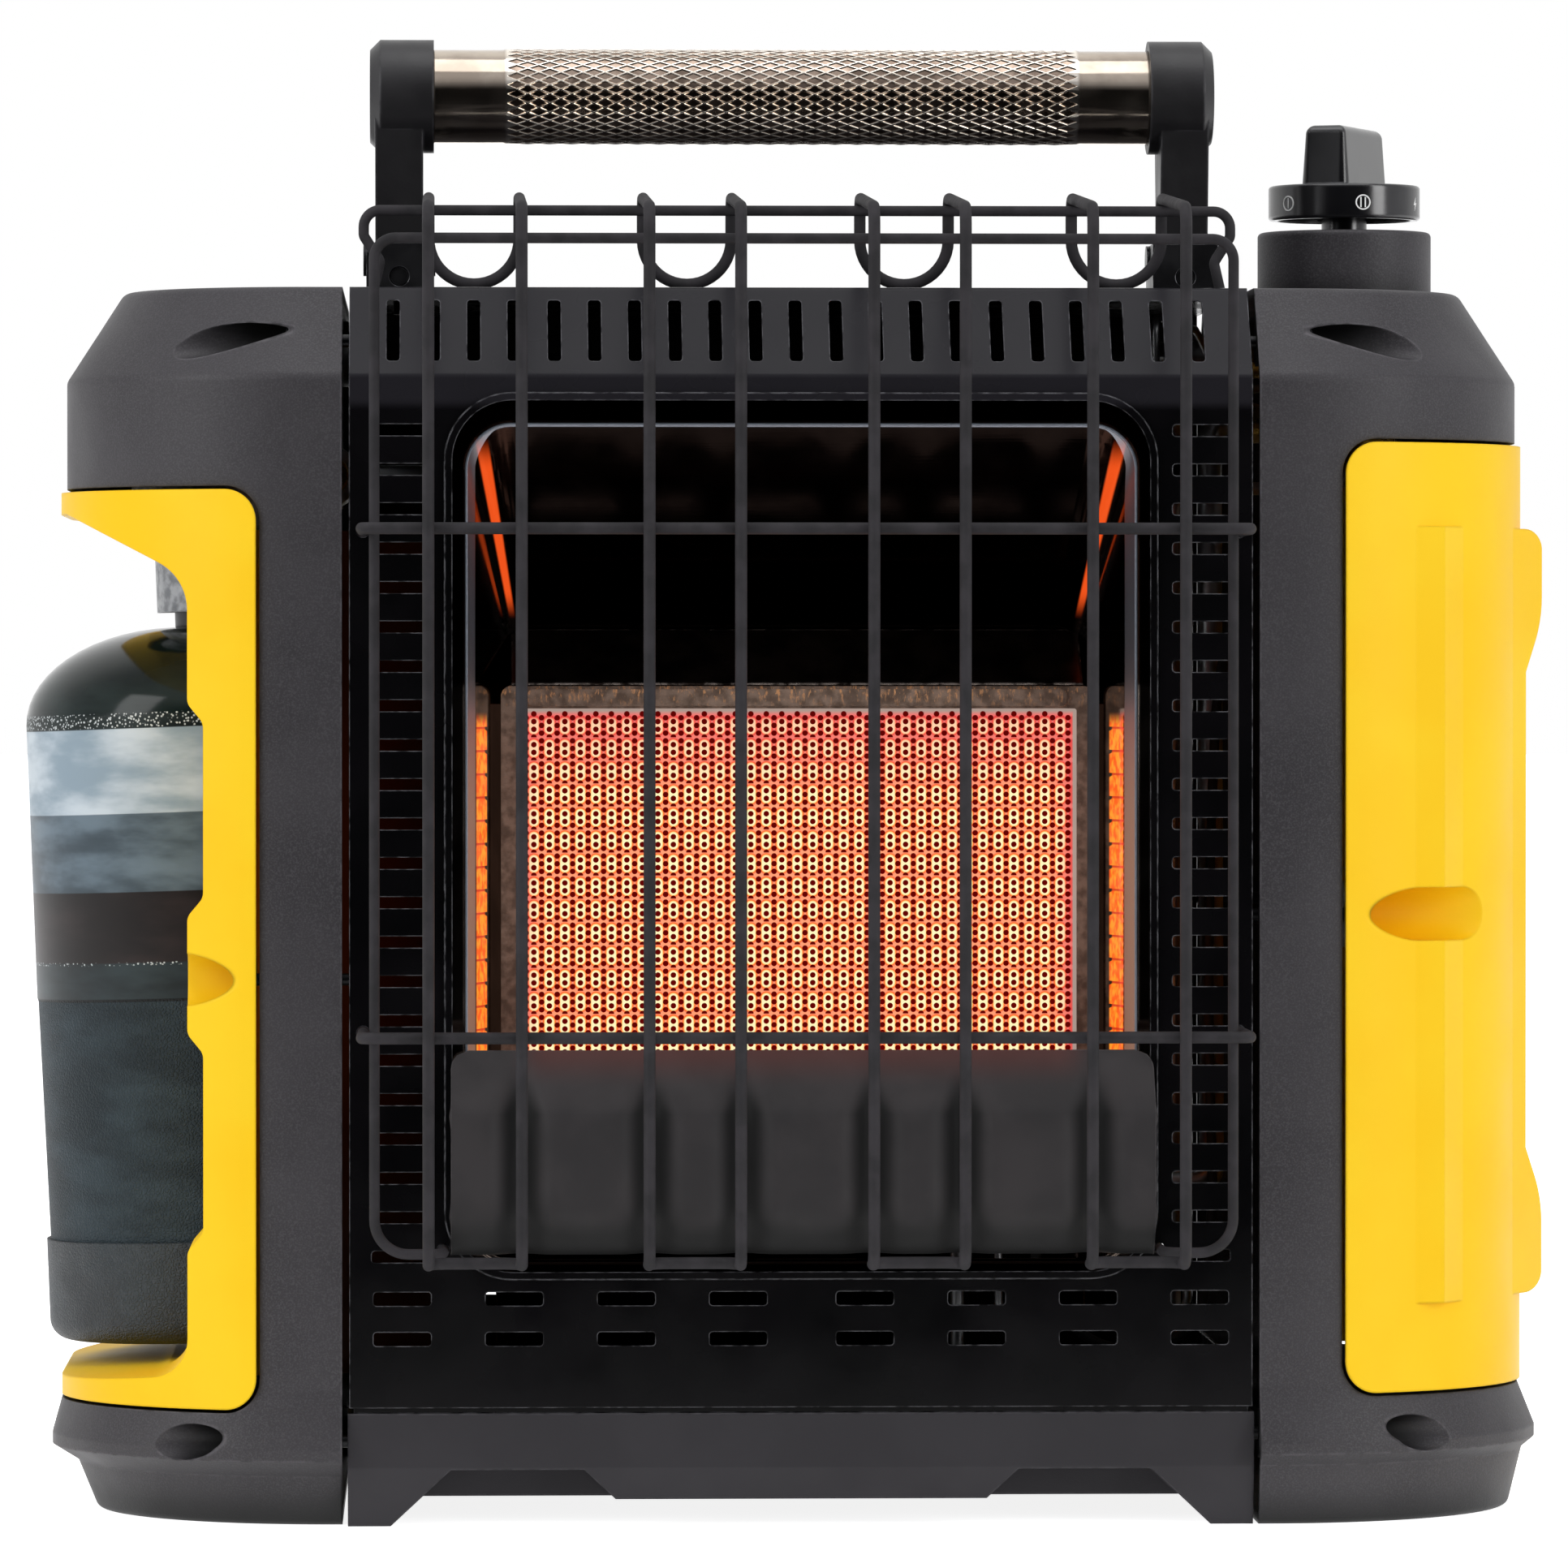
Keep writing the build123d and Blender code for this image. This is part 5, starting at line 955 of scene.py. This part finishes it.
@dataclass
class BurnerTile:
    """The drilled ceramic tile: blind holes in staggered columns, in a plate with plain margins."""

    grid: TileGrid = TileGrid()
    half: float = 68.0
    low: float = 100.8
    high: float = 194.6
    thick: float = 12.0
    hole: float = 0.7
    hole_sides: int = 10
    hole_deep: float = 3.0
    columns: int = 35
    rows: int = 49
    lid_share: float = 0.15

    def cell(self, bm: bmesh.types.BMesh, x: float, z: float, lidded: bool) -> list[Any]:
        """Makes the plate round one hole, and the blind hole.

        Args:
            bm: the mesh it goes into.
            x: the hole's place across.
            z: the hole's height.
            lidded: whether the lower part of the hole is covered.

        Returns:
            The vertices, edges and faces made.
        """
        grid = self.grid
        turn = Matrix.Translation((x, grid.face_y, z)) @ Matrix.Rotation(math.radians(90), 4, "X")
        made = bmesh.ops.create_circle(bm, cap_ends=False, radius=self.hole, segments=self.hole_sides,
                                       matrix=turn)
        lip = made["verts"]
        if lidded:
            for vert in lip:
                vert.co.z = max(vert.co.z, z - self.hole * self.lid_share)
        lip_edges = list({edge for vert in lip for edge in vert.link_edges})
        wide, tall = grid.column / 2, grid.row / 2
        ring = [(-1, -1), (1, -1), (1, 0), (1, 1), (-1, 1), (-1, 0)]
        corners = [bm.verts.new((x + a * wide, grid.face_y, z + b * tall)) for a, b in ring]
        border = [bm.edges.new((corners[i], corners[(i + 1) % 6])) for i in range(6)]
        filled = bmesh.ops.triangle_fill(bm, use_beauty=True, use_dissolve=False, edges=lip_edges + border,
                                         normal=(0, -1, 0))
        wall = bmesh.ops.extrude_edge_only(bm, edges=lip_edges)["geom"]
        sunk, sunk_edges = far_rim(wall)
        bmesh.ops.translate(bm, vec=(0, self.hole_deep, 0), verts=sunk)
        floor = bmesh.ops.edgeloop_fill(bm, edges=sunk_edges)["faces"]
        faces = [item for item in filled["geom"] + wall if isinstance(item, bmesh.types.BMFace)] + list(floor)
        edges = list({edge for face in faces for edge in face.edges})
        verts = list({vert for face in faces for vert in face.verts})
        return verts + edges + faces

    def repeat(self, bm: bmesh.types.BMesh, made: list[Any], step: Triple, times: int) -> None:
        """Lays copies of a part in a row.

        Args:
            bm: the mesh it is in.
            made: the part's vertices, edges and faces.
            step: how far each copy is from the one before it.
            times: how many copies there are.
        """
        bmesh.ops.spin(bm, geom=made, cent=(0, 0, 0), axis=(0, 1, 0), dvec=step, angle=0.0, steps=times,
                       use_duplicate=True)

    def column_pair(self, bm: bmesh.types.BMesh) -> list[Any]:
        """Makes a column whose every third hole is half covered, and the staggered one beside it.

        Args:
            bm: the mesh they go into.

        Returns:
            Everything made.
        """
        grid = self.grid
        self.cell(bm, grid.first_x, grid.first_z, False)
        for index in (1, 2, 3):
            cell = self.cell(bm, grid.first_x, grid.first_z - index * grid.row, index == 3)
            self.repeat(bm, cell, (0, 0, -3 * grid.row), (self.rows - 1 - index) // 3)
        cell = self.cell(bm, grid.first_x - grid.column, grid.first_z - grid.row / 2, False)
        self.repeat(bm, cell, (0, 0, -grid.row), self.rows - 2)
        return list(bm.verts) + list(bm.edges) + list(bm.faces)

    def build(self) -> bpy.types.Object:
        """Builds the tile.

        Returns:
            The piece.
        """
        piece = Piece("drilled_tile", TILE_CERAMIC, "body", "ceramic_white", ("ceramic_tile",), 30.0)
        bm, grid = piece.bm, self.grid
        self.repeat(bm, self.column_pair(bm), (2 * grid.column, 0, 0), self.columns)
        last = grid.first_x + (2 * self.columns - 0.5) * grid.column
        surplus = [face for face in bm.faces if face.calc_center_median().x > last]
        bmesh.ops.delete(bm, geom=surplus, context="FACES")
        bmesh.ops.remove_doubles(bm, verts=bm.verts, dist=0.01)
        zigzag = open_edges(bm)
        box = ((-self.half, self.low), (self.half, self.low), (self.half, self.high), (-self.half, self.high))
        corners = [bm.verts.new((x, grid.face_y, z)) for x, z in box]
        outer = [bm.edges.new((corners[i], corners[(i + 1) % 4])) for i in range(4)]
        bmesh.ops.triangle_fill(bm, use_beauty=True, use_dissolve=False, edges=zigzag + outer,
                                normal=(0, -1, 0))
        back, back_edges = far_rim(bmesh.ops.extrude_edge_only(bm, edges=outer)["geom"])
        bmesh.ops.translate(bm, vec=(0, self.thick, 0), verts=back)
        bmesh.ops.edgeloop_fill(bm, edges=back_edges)
        return piece.settle(0.01)


@dataclass
class Deflector:
    """The scalloped sheet in front of the burner's lower edge.

    The profile gives how far each point of the side view is before the housing's front, and its height.
    """

    half: float = 83.0
    profile: tuple[tuple[float, float], ...] = (
        (-4.0, 113.0), (-16.0, 98.3), (-16.0, 74.0), (-8.5, 64.8), (-3.5, 64.7))
    valleys: tuple[float, ...] = (-66.5, -35.8, -14.3, 16.2, 37.5, 68.4)
    valley_deep: float = 5.4
    valley_half: float = 7.5
    valley_start: float = 1.0
    corner: float = 4.3
    sheet: float = 1.0
    columns: int = 240
    rows: int = 44
    smoothings: int = 14

    def along(self, share: float) -> tuple[float, float]:
        """Finds a point of the side view.

        Args:
            share: how far down the sheet, from nought to one.

        Returns:
            Its depth and height.
        """
        runs = [math.dist(a, b) for a, b in zip(self.profile, self.profile[1:])]
        left = share * sum(runs)
        for run, first, last in zip(runs, self.profile, self.profile[1:]):
            if left <= run + 1e-6:
                part = left / run
                return first[0] + (last[0] - first[0]) * part, first[1] + (last[1] - first[1]) * part
            left -= run
        return self.profile[-1]

    def hollow(self, x: float, depth: float, height: float) -> float:
        """Measures how far a valley sets the sheet back.

        Args:
            x: the place across.
            depth: the place in depth; not used.
            height: the height.

        Returns:
            The setback in millimetres.
        """
        top, crease = self.profile[0][1], self.profile[1][1]
        grown = min(max((top - height) / (top - crease), 0.0), 1.0)
        half = self.valley_start + (self.valley_half - self.valley_start) * grown
        reach = min(min(abs(x - v) for v in self.valleys) / half, 1.0)
        return self.valley_deep * grown * (0.5 + 0.5 * math.cos(math.pi * reach))

    def build(self) -> bpy.types.Object:
        """Builds the sheet.

        Returns:
            The piece.
        """
        piece = Piece("scalloped_deflector", DEFLECTOR_PAINT, "body", "deflector_enamel", ("lower_deflector",),
                      60.0)
        bm = piece.bm
        bmesh.ops.create_grid(bm, x_segments=self.columns, y_segments=self.rows, size=1.0)
        for vert in bm.verts:
            depth, height = self.along((1.0 - vert.co.y) / 2)
            drop = self.profile[0][1] - height
            inset = self.corner - math.sqrt(max(self.corner ** 2 - max(self.corner - drop, 0.0) ** 2, 0.0))
            x = vert.co.x * (self.half - inset)
            vert.co = (x, FRONT_Y + depth + self.hollow(x, depth, height), height)
        inner = [vert for vert in bm.verts if not vert.is_boundary]
        for _ in range(self.smoothings):
            bmesh.ops.smooth_vert(bm, verts=inner, factor=0.5, use_axis_x=False, use_axis_y=True,
                                  use_axis_z=True)
        bmesh.ops.solidify(bm, geom=list(bm.faces), thickness=self.sheet)
        return piece.settle(0.001)


@dataclass
class HandleGrip:
    """The handle's tube: smooth at its ends, rolled with diamonds between them."""

    line: GripLine = GripLine()
    smooth: float = 11.35
    end: float = 95.0
    knurl_half: float = 69.6
    knurl_run_out: float = 0.6
    around: int = 32
    along: int = 26
    crest_wide: float = 0.13
    slope_wide: float = 0.22
    pit_deep: float = 0.3
    pitted_share: float = 0.6

    def build(self) -> bpy.types.Object:
        """Builds the tube.

        Returns:
            The piece.
        """
        piece = Piece("knurled_grip", NICKEL_TUBE, "handle", "knurled_nickel", ("handle_tube",), 35.0)
        bm = piece.bm
        bmesh.ops.create_grid(bm, x_segments=2 * self.along, y_segments=2 * self.around, size=1.0)
        girth = 2 * math.pi * self.line.crest
        for vert in bm.verts:
            vert.co.x *= self.knurl_half
            vert.co.y *= girth / 2
        wide, tall = self.knurl_half / self.along, girth / 2 / self.around
        odd = [vert for vert in bm.verts if (round(vert.co.x / wide) + round(vert.co.y / tall)) % 2]
        crossings = [vert for vert in bm.verts if vert not in set(odd)]
        bmesh.ops.connect_verts(bm, verts=crossings)
        bmesh.ops.dissolve_verts(bm, verts=[vert for vert in odd if not vert.is_boundary])
        bmesh.ops.inset_individual(bm, faces=list(bm.faces), thickness=self.crest_wide, depth=0.0,
                                   use_even_offset=True)
        tops = [face for face in bm.faces if all(not edge.is_boundary for edge in face.edges)
                and len({round(vert.co.z, 3) for vert in face.verts}) == 1]
        pits = [face for face in tops if face.calc_area() > self.pitted_share * wide * tall]
        bmesh.ops.inset_individual(bm, faces=pits, thickness=self.slope_wide, depth=-self.pit_deep,
                                   use_even_offset=True)
        for vert in bm.verts:
            turn = vert.co.y / self.line.crest
            reach = self.line.crest - abs(vert.co.z)
            vert.co = (vert.co.x, self.line.axis_y + reach * math.sin(turn),
                       self.line.axis_z + reach * math.cos(turn))
        bmesh.ops.remove_doubles(bm, verts=bm.verts, dist=0.01)
        self.add_ends(bm)
        return piece.settle(0.005)

    def add_ends(self, bm: bmesh.types.BMesh) -> None:
        """Draws the smooth ends out of the knurled part and closes them.

        Args:
            bm: the mesh under way.
        """
        middle = Vector((self.line.axis_y, self.line.axis_z))
        for side in (-1, 1):
            loop = [edge for edge in open_edges(bm) if edge.verts[0].co.x * side > 0]
            for reach in (self.knurl_half + self.knurl_run_out, self.end):
                verts, loop = far_rim(bmesh.ops.extrude_edge_only(bm, edges=loop)["geom"])
                for vert in verts:
                    off = (vert.co.yz - middle).normalized() * self.smooth
                    vert.co = (side * reach, *(middle + off))
            bmesh.ops.edgeloop_fill(bm, edges=loop)


@dataclass
class KnobMarks:
    """The printed marks round the knob's ring: each has its place in degrees from the front."""

    centre_x: float = 138.1
    centre_y: float = FRONT_Y + 100.0
    ring: float = 18.7
    height: float = 317.8
    ring_mark: float = 1.9
    stroke: float = 0.34
    thick: float = 0.1
    clear: float = 0.02
    hoop_sides: int = 36
    bar_tall: float = 2.5
    bar_aside: float = 0.55
    spark: tuple[tuple[float, float], ...] = (
        (0.5, 1.9), (-0.95, -0.25), (-0.1, -0.25), (-0.5, -1.9), (0.95, 0.3), (0.1, 0.3))
    places: tuple[tuple[Mark, float], ...] = ((Mark.ONE, -52.5), (Mark.TWO, 9.0), (Mark.SPARK, 63.7))

    def bar(self, bm: bmesh.types.BMesh, x: float) -> None:
        """Adds an upright bar of ink.

        Args:
            bm: the mesh it goes into.
            x: its place across.
        """
        shape = Matrix.Translation((x, 0, 0)) @ Matrix.Diagonal((self.stroke, self.thick, self.bar_tall, 1))
        bmesh.ops.create_cube(bm, size=1.0, matrix=shape)

    def hoop(self, bm: bmesh.types.BMesh) -> None:
        """Adds a ring of ink.

        Args:
            bm: the mesh it goes into.
        """
        turn = Matrix.Rotation(math.radians(90), 4, "X")
        loops = []
        for radius in (self.ring_mark, self.ring_mark - self.stroke):
            made = bmesh.ops.create_circle(bm, cap_ends=False, radius=radius, segments=self.hoop_sides,
                                           matrix=turn)
            loops += list({edge for vert in made["verts"] for edge in vert.link_edges})
        faces = bmesh.ops.bridge_loops(bm, edges=loops)["faces"]
        bmesh.ops.solidify(bm, geom=faces, thickness=self.thick)

    def bolt(self, bm: bmesh.types.BMesh) -> None:
        """Adds a spark sign.

        Args:
            bm: the mesh it goes into.
        """
        face = bm.faces.new([bm.verts.new((x, 0, z)) for x, z in self.spark])
        bmesh.ops.solidify(bm, geom=[face], thickness=self.thick)

    def build(self) -> list[bpy.types.Object]:
        """Builds the marks and bends them round the ring.

        Returns:
            The pieces.
        """
        made = []
        for mark, degrees in self.places:
            piece = Piece(f"knob_mark_{mark.name.lower()}", PRINT_INK, "knob", "black_plastic", (), 30.0)
            if mark is Mark.SPARK:
                self.bolt(piece.bm)
            else:
                self.hoop(piece.bm)
                for x in ((0.0,) if mark is Mark.ONE else (-self.bar_aside, self.bar_aside)):
                    self.bar(piece.bm, x)
            for vert in piece.bm.verts:
                turn = math.radians(degrees) + vert.co.x / self.ring
                reach = self.ring + self.clear + min(abs(vert.co.y), self.thick)
                vert.co = (self.centre_x + reach * math.sin(turn), self.centre_y - reach * math.cos(turn),
                           self.height + vert.co.z)
            made.append(piece.settle(0.0005))
        return made


@dataclass
class GasCylinder:
    """The leaning bottle: domed top, printed sleeve and grained lower sleeve.

    The wall gives how far each point of the half section is inside the radius, and its height.
    """

    axis_x: float = -140.5
    axis_y: float = FRONT_Y + 100.0
    radius: float = 49.25
    bottom: float = 62.7
    wall: tuple[tuple[float, float], ...] = (
        (4.0, 62.7), (1.0, 63.7), (0.25, 124.2), (0.1, 124.7), (0.0, 125.0), (0.0, 190.4))
    shoulder: float = 192.0
    top: float = 214.9
    neck: float = 12.7
    lean: BottleLean = BottleLean()
    sides: int = 128
    dome_steps: int = 14

    def outline(self) -> list[tuple[float, float]]:
        """Lists the bottle's half section from the bottom up.

        Returns:
            Radius and height of each point.
        """
        line = [(0.0, self.bottom)] + [(self.radius - inside, height) for inside, height in self.wall]
        for index in range(self.dome_steps + 1):
            turn = math.radians(index * 90 / self.dome_steps)
            line.append((self.neck + (self.radius - self.neck) * math.cos(turn),
                         self.shoulder + (self.top - self.shoulder) * math.sin(turn)))
        line.append((0.0, self.top))
        return line

    def build(self) -> bpy.types.Object:
        """Builds the bottle.

        Returns:
            The piece.
        """
        piece = Piece("painted_bottle", BOTTLE_PAINT, "cylinder", "cylinder_paint", ("cylinder_body",), 40.0)
        bm = piece.bm
        verts = [bm.verts.new((self.axis_x + r, self.axis_y, z)) for r, z in self.outline()]
        edges = [bm.edges.new(pair) for pair in zip(verts, verts[1:])]
        bmesh.ops.spin(bm, geom=verts + edges, cent=(self.axis_x, self.axis_y, 0), axis=(0, 0, 1),
                       dvec=(0, 0, 0), angle=math.radians(360), steps=self.sides, use_merge=True)
        leant = Matrix.Rotation(math.radians(self.lean.degrees), 3, "Y")
        bmesh.ops.rotate(bm, cent=self.lean.pivot, matrix=leant, verts=bm.verts)
        return piece.settle(0.01)


@dataclass
class Heater:
    """The whole heater, dressed sub-assembly by sub-assembly."""

    tile: BurnerTile = field(default_factory=BurnerTile)
    deflector: Deflector = field(default_factory=Deflector)
    grip: HandleGrip = field(default_factory=HandleGrip)
    marks: KnobMarks = field(default_factory=KnobMarks)
    bottle: GasCylinder = field(default_factory=GasCylinder)

    def dress_housing(self) -> None:
        """Finishes the sheet-metal housing and its base bars."""
        dress(HOUSING_ENAMEL, "front_panel", "rear_panel", "base_pan")
        dress(BASE_PLASTIC, "base_front_bar", "base_rear_bar")
        LOG.info("housing dressed")

    def dress_towers(self) -> None:
        """Finishes the towers, the yellow pieces and their screws."""
        dress(TOWER_PLASTIC, "left_tower_shell", "right_tower_shell", "control_boss")
        dress(YELLOW_PLASTIC, "right_hose_panel")
        dress(BAY_PLASTIC, "left_bay_tub")
        dress(BLACK_PLATE, "left_tower_screws", "right_tower_screws")
        LOG.info("towers dressed")

    def dress_guard(self) -> None:
        """Finishes the guard's wires."""
        dress(WIRE_COAT, "guard_hairpins", "guard_crossbars", "guard_side_frame", "guard_top_bar")
        LOG.info("guard dressed")

    def dress_burner(self) -> None:
        """Builds and finishes the reflector, the burner and the deflector."""
        dress(BOWL_STEEL, "reflector_bowl")
        dress(SMOKED_STEEL, "reflector_canopy", "burner_plenum", "venturi_tube", "heat_shield", "pilot_bracket")
        dress(BURNER_STEEL, "burner_frame")
        dress(GASKET_FIBRE, "tile_gasket")
        self.tile.build()
        self.deflector.build()
        LOG.info("burner built and dressed")

    def dress_gas_line(self) -> None:
        """Finishes the pilot group, the gas line and the tip-over switch."""
        dress(TURNED_BRASS, "swivel_tube", "gas_jet", "valve_body", "pilot_burner")
        dress(DRAWN_TUBE, "feed_tube", "main_gas_tube", "pilot_tube", "thermocouple")
        dress(ZINC_PLATE, "swivel_bracket", "valve_bracket", "knob_spring", "thrust_washer", "tip_switch_case",
              "tip_switch_weight", "knob_stem")
        dress(GLAZED_ROD, "spark_electrode")
        dress(LEAD_SLEEVE, "spark_lead")
        dress(CAST_ZINC, "regulator")
        dress(ARM_NYLON, "piezo_igniter")
        LOG.info("gas line dressed")

    def dress_handle(self) -> None:
        """Builds the grip and finishes the handle."""
        dress(ARM_NYLON, "left_handle_arm", "right_handle_arm")
        dress(BLACK_PLATE, "left_handle_bracket", "right_handle_bracket", "bracket_screws", "handle_pins")
        self.grip.build()
        LOG.info("handle built and dressed")

    def dress_knob(self) -> None:
        """Finishes the knob and prints its marks."""
        dress(KNOB_PHENOLIC, "knob")
        self.marks.build()
        LOG.info("knob dressed")

    def dress_cylinder(self) -> None:
        """Builds the bottle and finishes its cup and neck."""
        self.bottle.build()
        dress(CUP_PLASTIC, "cylinder_foot_cup")
        dress(ARM_NYLON, "cylinder_neck")
        LOG.info("cylinder built and dressed")

    def build(self) -> None:
        """Builds and dresses every sub-assembly."""
        self.dress_housing()
        self.dress_towers()
        self.dress_guard()
        self.dress_burner()
        self.dress_gas_line()
        self.dress_handle()
        self.dress_knob()
        self.dress_cylinder()


@dataclass
class Studio:
    """The camera, the soft lamps, the surrounding light and the floor.

    Places are in metres. Each lamp has its name, its place, its width and height and its power in watts. The
    floor's own light rises over a distance from its middle, in millimetres, and so keeps the heater's shadow.
    """

    camera_at: Triple = (-0.084, -2.32305, 0.200)
    pitch: float = 89.383
    yaw: float = -2.036
    lens: float = 218.0
    sensor: float = 36.0
    lamps: tuple[tuple[str, Triple, tuple[float, float], float], ...] = (
        ("lamp_left", (-1.5, -0.9, 0.9), (0.7, 1.2), 12.0),
        ("lamp_right", (1.4, -1.1, 0.7), (0.6, 1.1), 9.5),
        ("lamp_top", (0.0, -0.2, 1.7), (1.4, 1.0), 7.0))
    lamps_face: Triple = (0.0, 0.0, 0.18)
    floor_half: float = 12.0
    floor_ahead: float = 0.35
    paper_mm: float = 4.0
    lift_from: Span = (160.0, 300.0)
    lift: Span = (0.86, 1.0)

    def place_camera(self) -> None:
        """Places the camera at the viewing angle."""
        data = bpy.data.cameras.new("camera")
        data.lens = self.lens
        data.sensor_width = self.sensor
        camera = bpy.data.objects.new("camera", data)
        camera.location = self.camera_at
        camera.rotation_euler = (math.radians(self.pitch), 0.0, math.radians(self.yaw))
        bpy.context.scene.collection.objects.link(camera)
        bpy.context.scene.camera = camera

    def place_lamp(self, name: str, at: Triple, size: tuple[float, float], watts: float) -> None:
        """Places a soft rectangular lamp that faces the heater.

        Args:
            name: the lamp's name.
            at: its place in metres.
            size: its width and height in metres.
            watts: its power.
        """
        data = bpy.data.lights.new(name, "AREA")
        data.shape = "RECTANGLE"
        data.size, data.size_y = size
        data.energy = watts
        lamp = bpy.data.objects.new(name, data)
        lamp.location = at
        lamp.rotation_euler = (Vector(self.lamps_face) - Vector(at)).to_track_quat("-Z", "Y").to_euler()
        bpy.context.scene.collection.objects.link(lamp)

    def light_world(self) -> None:
        """Lights the studio: white where the camera looks, dark round the camera for what the gloss shows."""
        world = bpy.data.worlds.new("studio")
        world.use_nodes = True
        shading = Shading(world.node_tree, "Generated", 1.0)
        node, within, coats = shading.node, shading.within, shading.coats
        # Directions of unit length: x is beside the heater, y behind it, z above it.
        x, y, z = shading.axes()
        beside = within((node("Math", {0: x}, operation="ABSOLUTE"), (0.5, 0.85)))
        above, below = within((z, (0.25, 0.8))), within((z, (-0.05, -0.3)))
        behind = within((y, (0.15, 0.6)))
        seen = coats("#030303", (beside, "#DCDCDF"), (above, "#D4D4D8"), (below, "#111112"),
                     (behind, "#FFFFFF"))
        around = coats("#D6D6D9", (within((y, (-0.1, 0.5))), "#5C5C5E"))
        clear = self.rays(shading, "Camera", "Transmission")
        colour = coats(around, (self.rays(shading, "Glossy"), seen), (clear, "#FFFFFF"))
        node("OutputWorld", {"Surface": node("Background", {"Color": colour, "Strength": 1.0})})
        bpy.context.scene.world = world

    def rays(self, shading: Shading, *kinds: str) -> Socket:
        """Marks rays of some kinds.

        Args:
            shading: the tree it goes into.
            kinds: the kinds of ray.

        Returns:
            One for a ray of any of the kinds, nought for others.
        """
        found = 0.0
        for kind in kinds:
            ray = shading.node("LightPath", output=f"Is {kind} Ray")
            found = shading.node("Math", {0: found, 1: ray}, operation="MAXIMUM")
        return found

    def lay_floor(self) -> None:
        """Lays the pale floor, which turns white away from the heater and keeps its shadow."""
        bm = bmesh.new()
        bmesh.ops.create_grid(bm, x_segments=1, y_segments=1, size=self.floor_half)
        bmesh.ops.translate(bm, vec=(0, self.floor_half - self.floor_ahead, 0), verts=bm.verts)
        mesh = bpy.data.meshes.new("floor")
        bm.to_mesh(mesh)
        bm.free()
        material = bpy.data.materials.new("white_paper_sweep")
        material.use_nodes = True
        shading = Shading(material.node_tree)
        node = shading.node
        fibres = node("TexNoise", {"Vector": shading.place, "Scale": 1 / self.paper_mm})
        paper = node("BsdfDiffuse", {"Color": shading.coats("#F2F2F2", (fibres, "#F6F6F6"))})
        reach = node("VectorMath", {0: shading.place}, "Value", operation="LENGTH")
        lift = node("MapRange", {0: reach, 1: self.lift_from[0], 2: self.lift_from[1], 3: self.lift[0],
                                 4: self.lift[1]}, interpolation_type="SMOOTHSTEP")
        strength = node("Math", {0: self.rays(shading, "Camera", "Glossy", "Transmission"), 1: lift},
                        operation="MULTIPLY")
        white = node("Emission", {"Color": "#FFFFFF", "Strength": strength})
        node("OutputMaterial", {"Surface": node("AddShader", {0: paper, 1: white})})
        mesh.materials.append(material)
        floor = bpy.data.objects.new("floor", mesh)
        bpy.context.scene.collection.objects.link(floor)

    def build(self) -> None:
        """Sets up the studio."""
        self.place_camera()
        for lamp in self.lamps:
            self.place_lamp(*lamp)
        self.light_world()
        self.lay_floor()
        bpy.context.scene.view_settings.view_transform = "Standard"
        LOG.info("studio set up")


def main() -> None:
    """Builds the heater and the studio."""
    logging.basicConfig(level=logging.INFO, format="%(name)s: %(message)s")
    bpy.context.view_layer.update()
    Heater().build()
    Studio().build()
    LOG.info("boxes written")


if __name__ == "__main__":
    main()
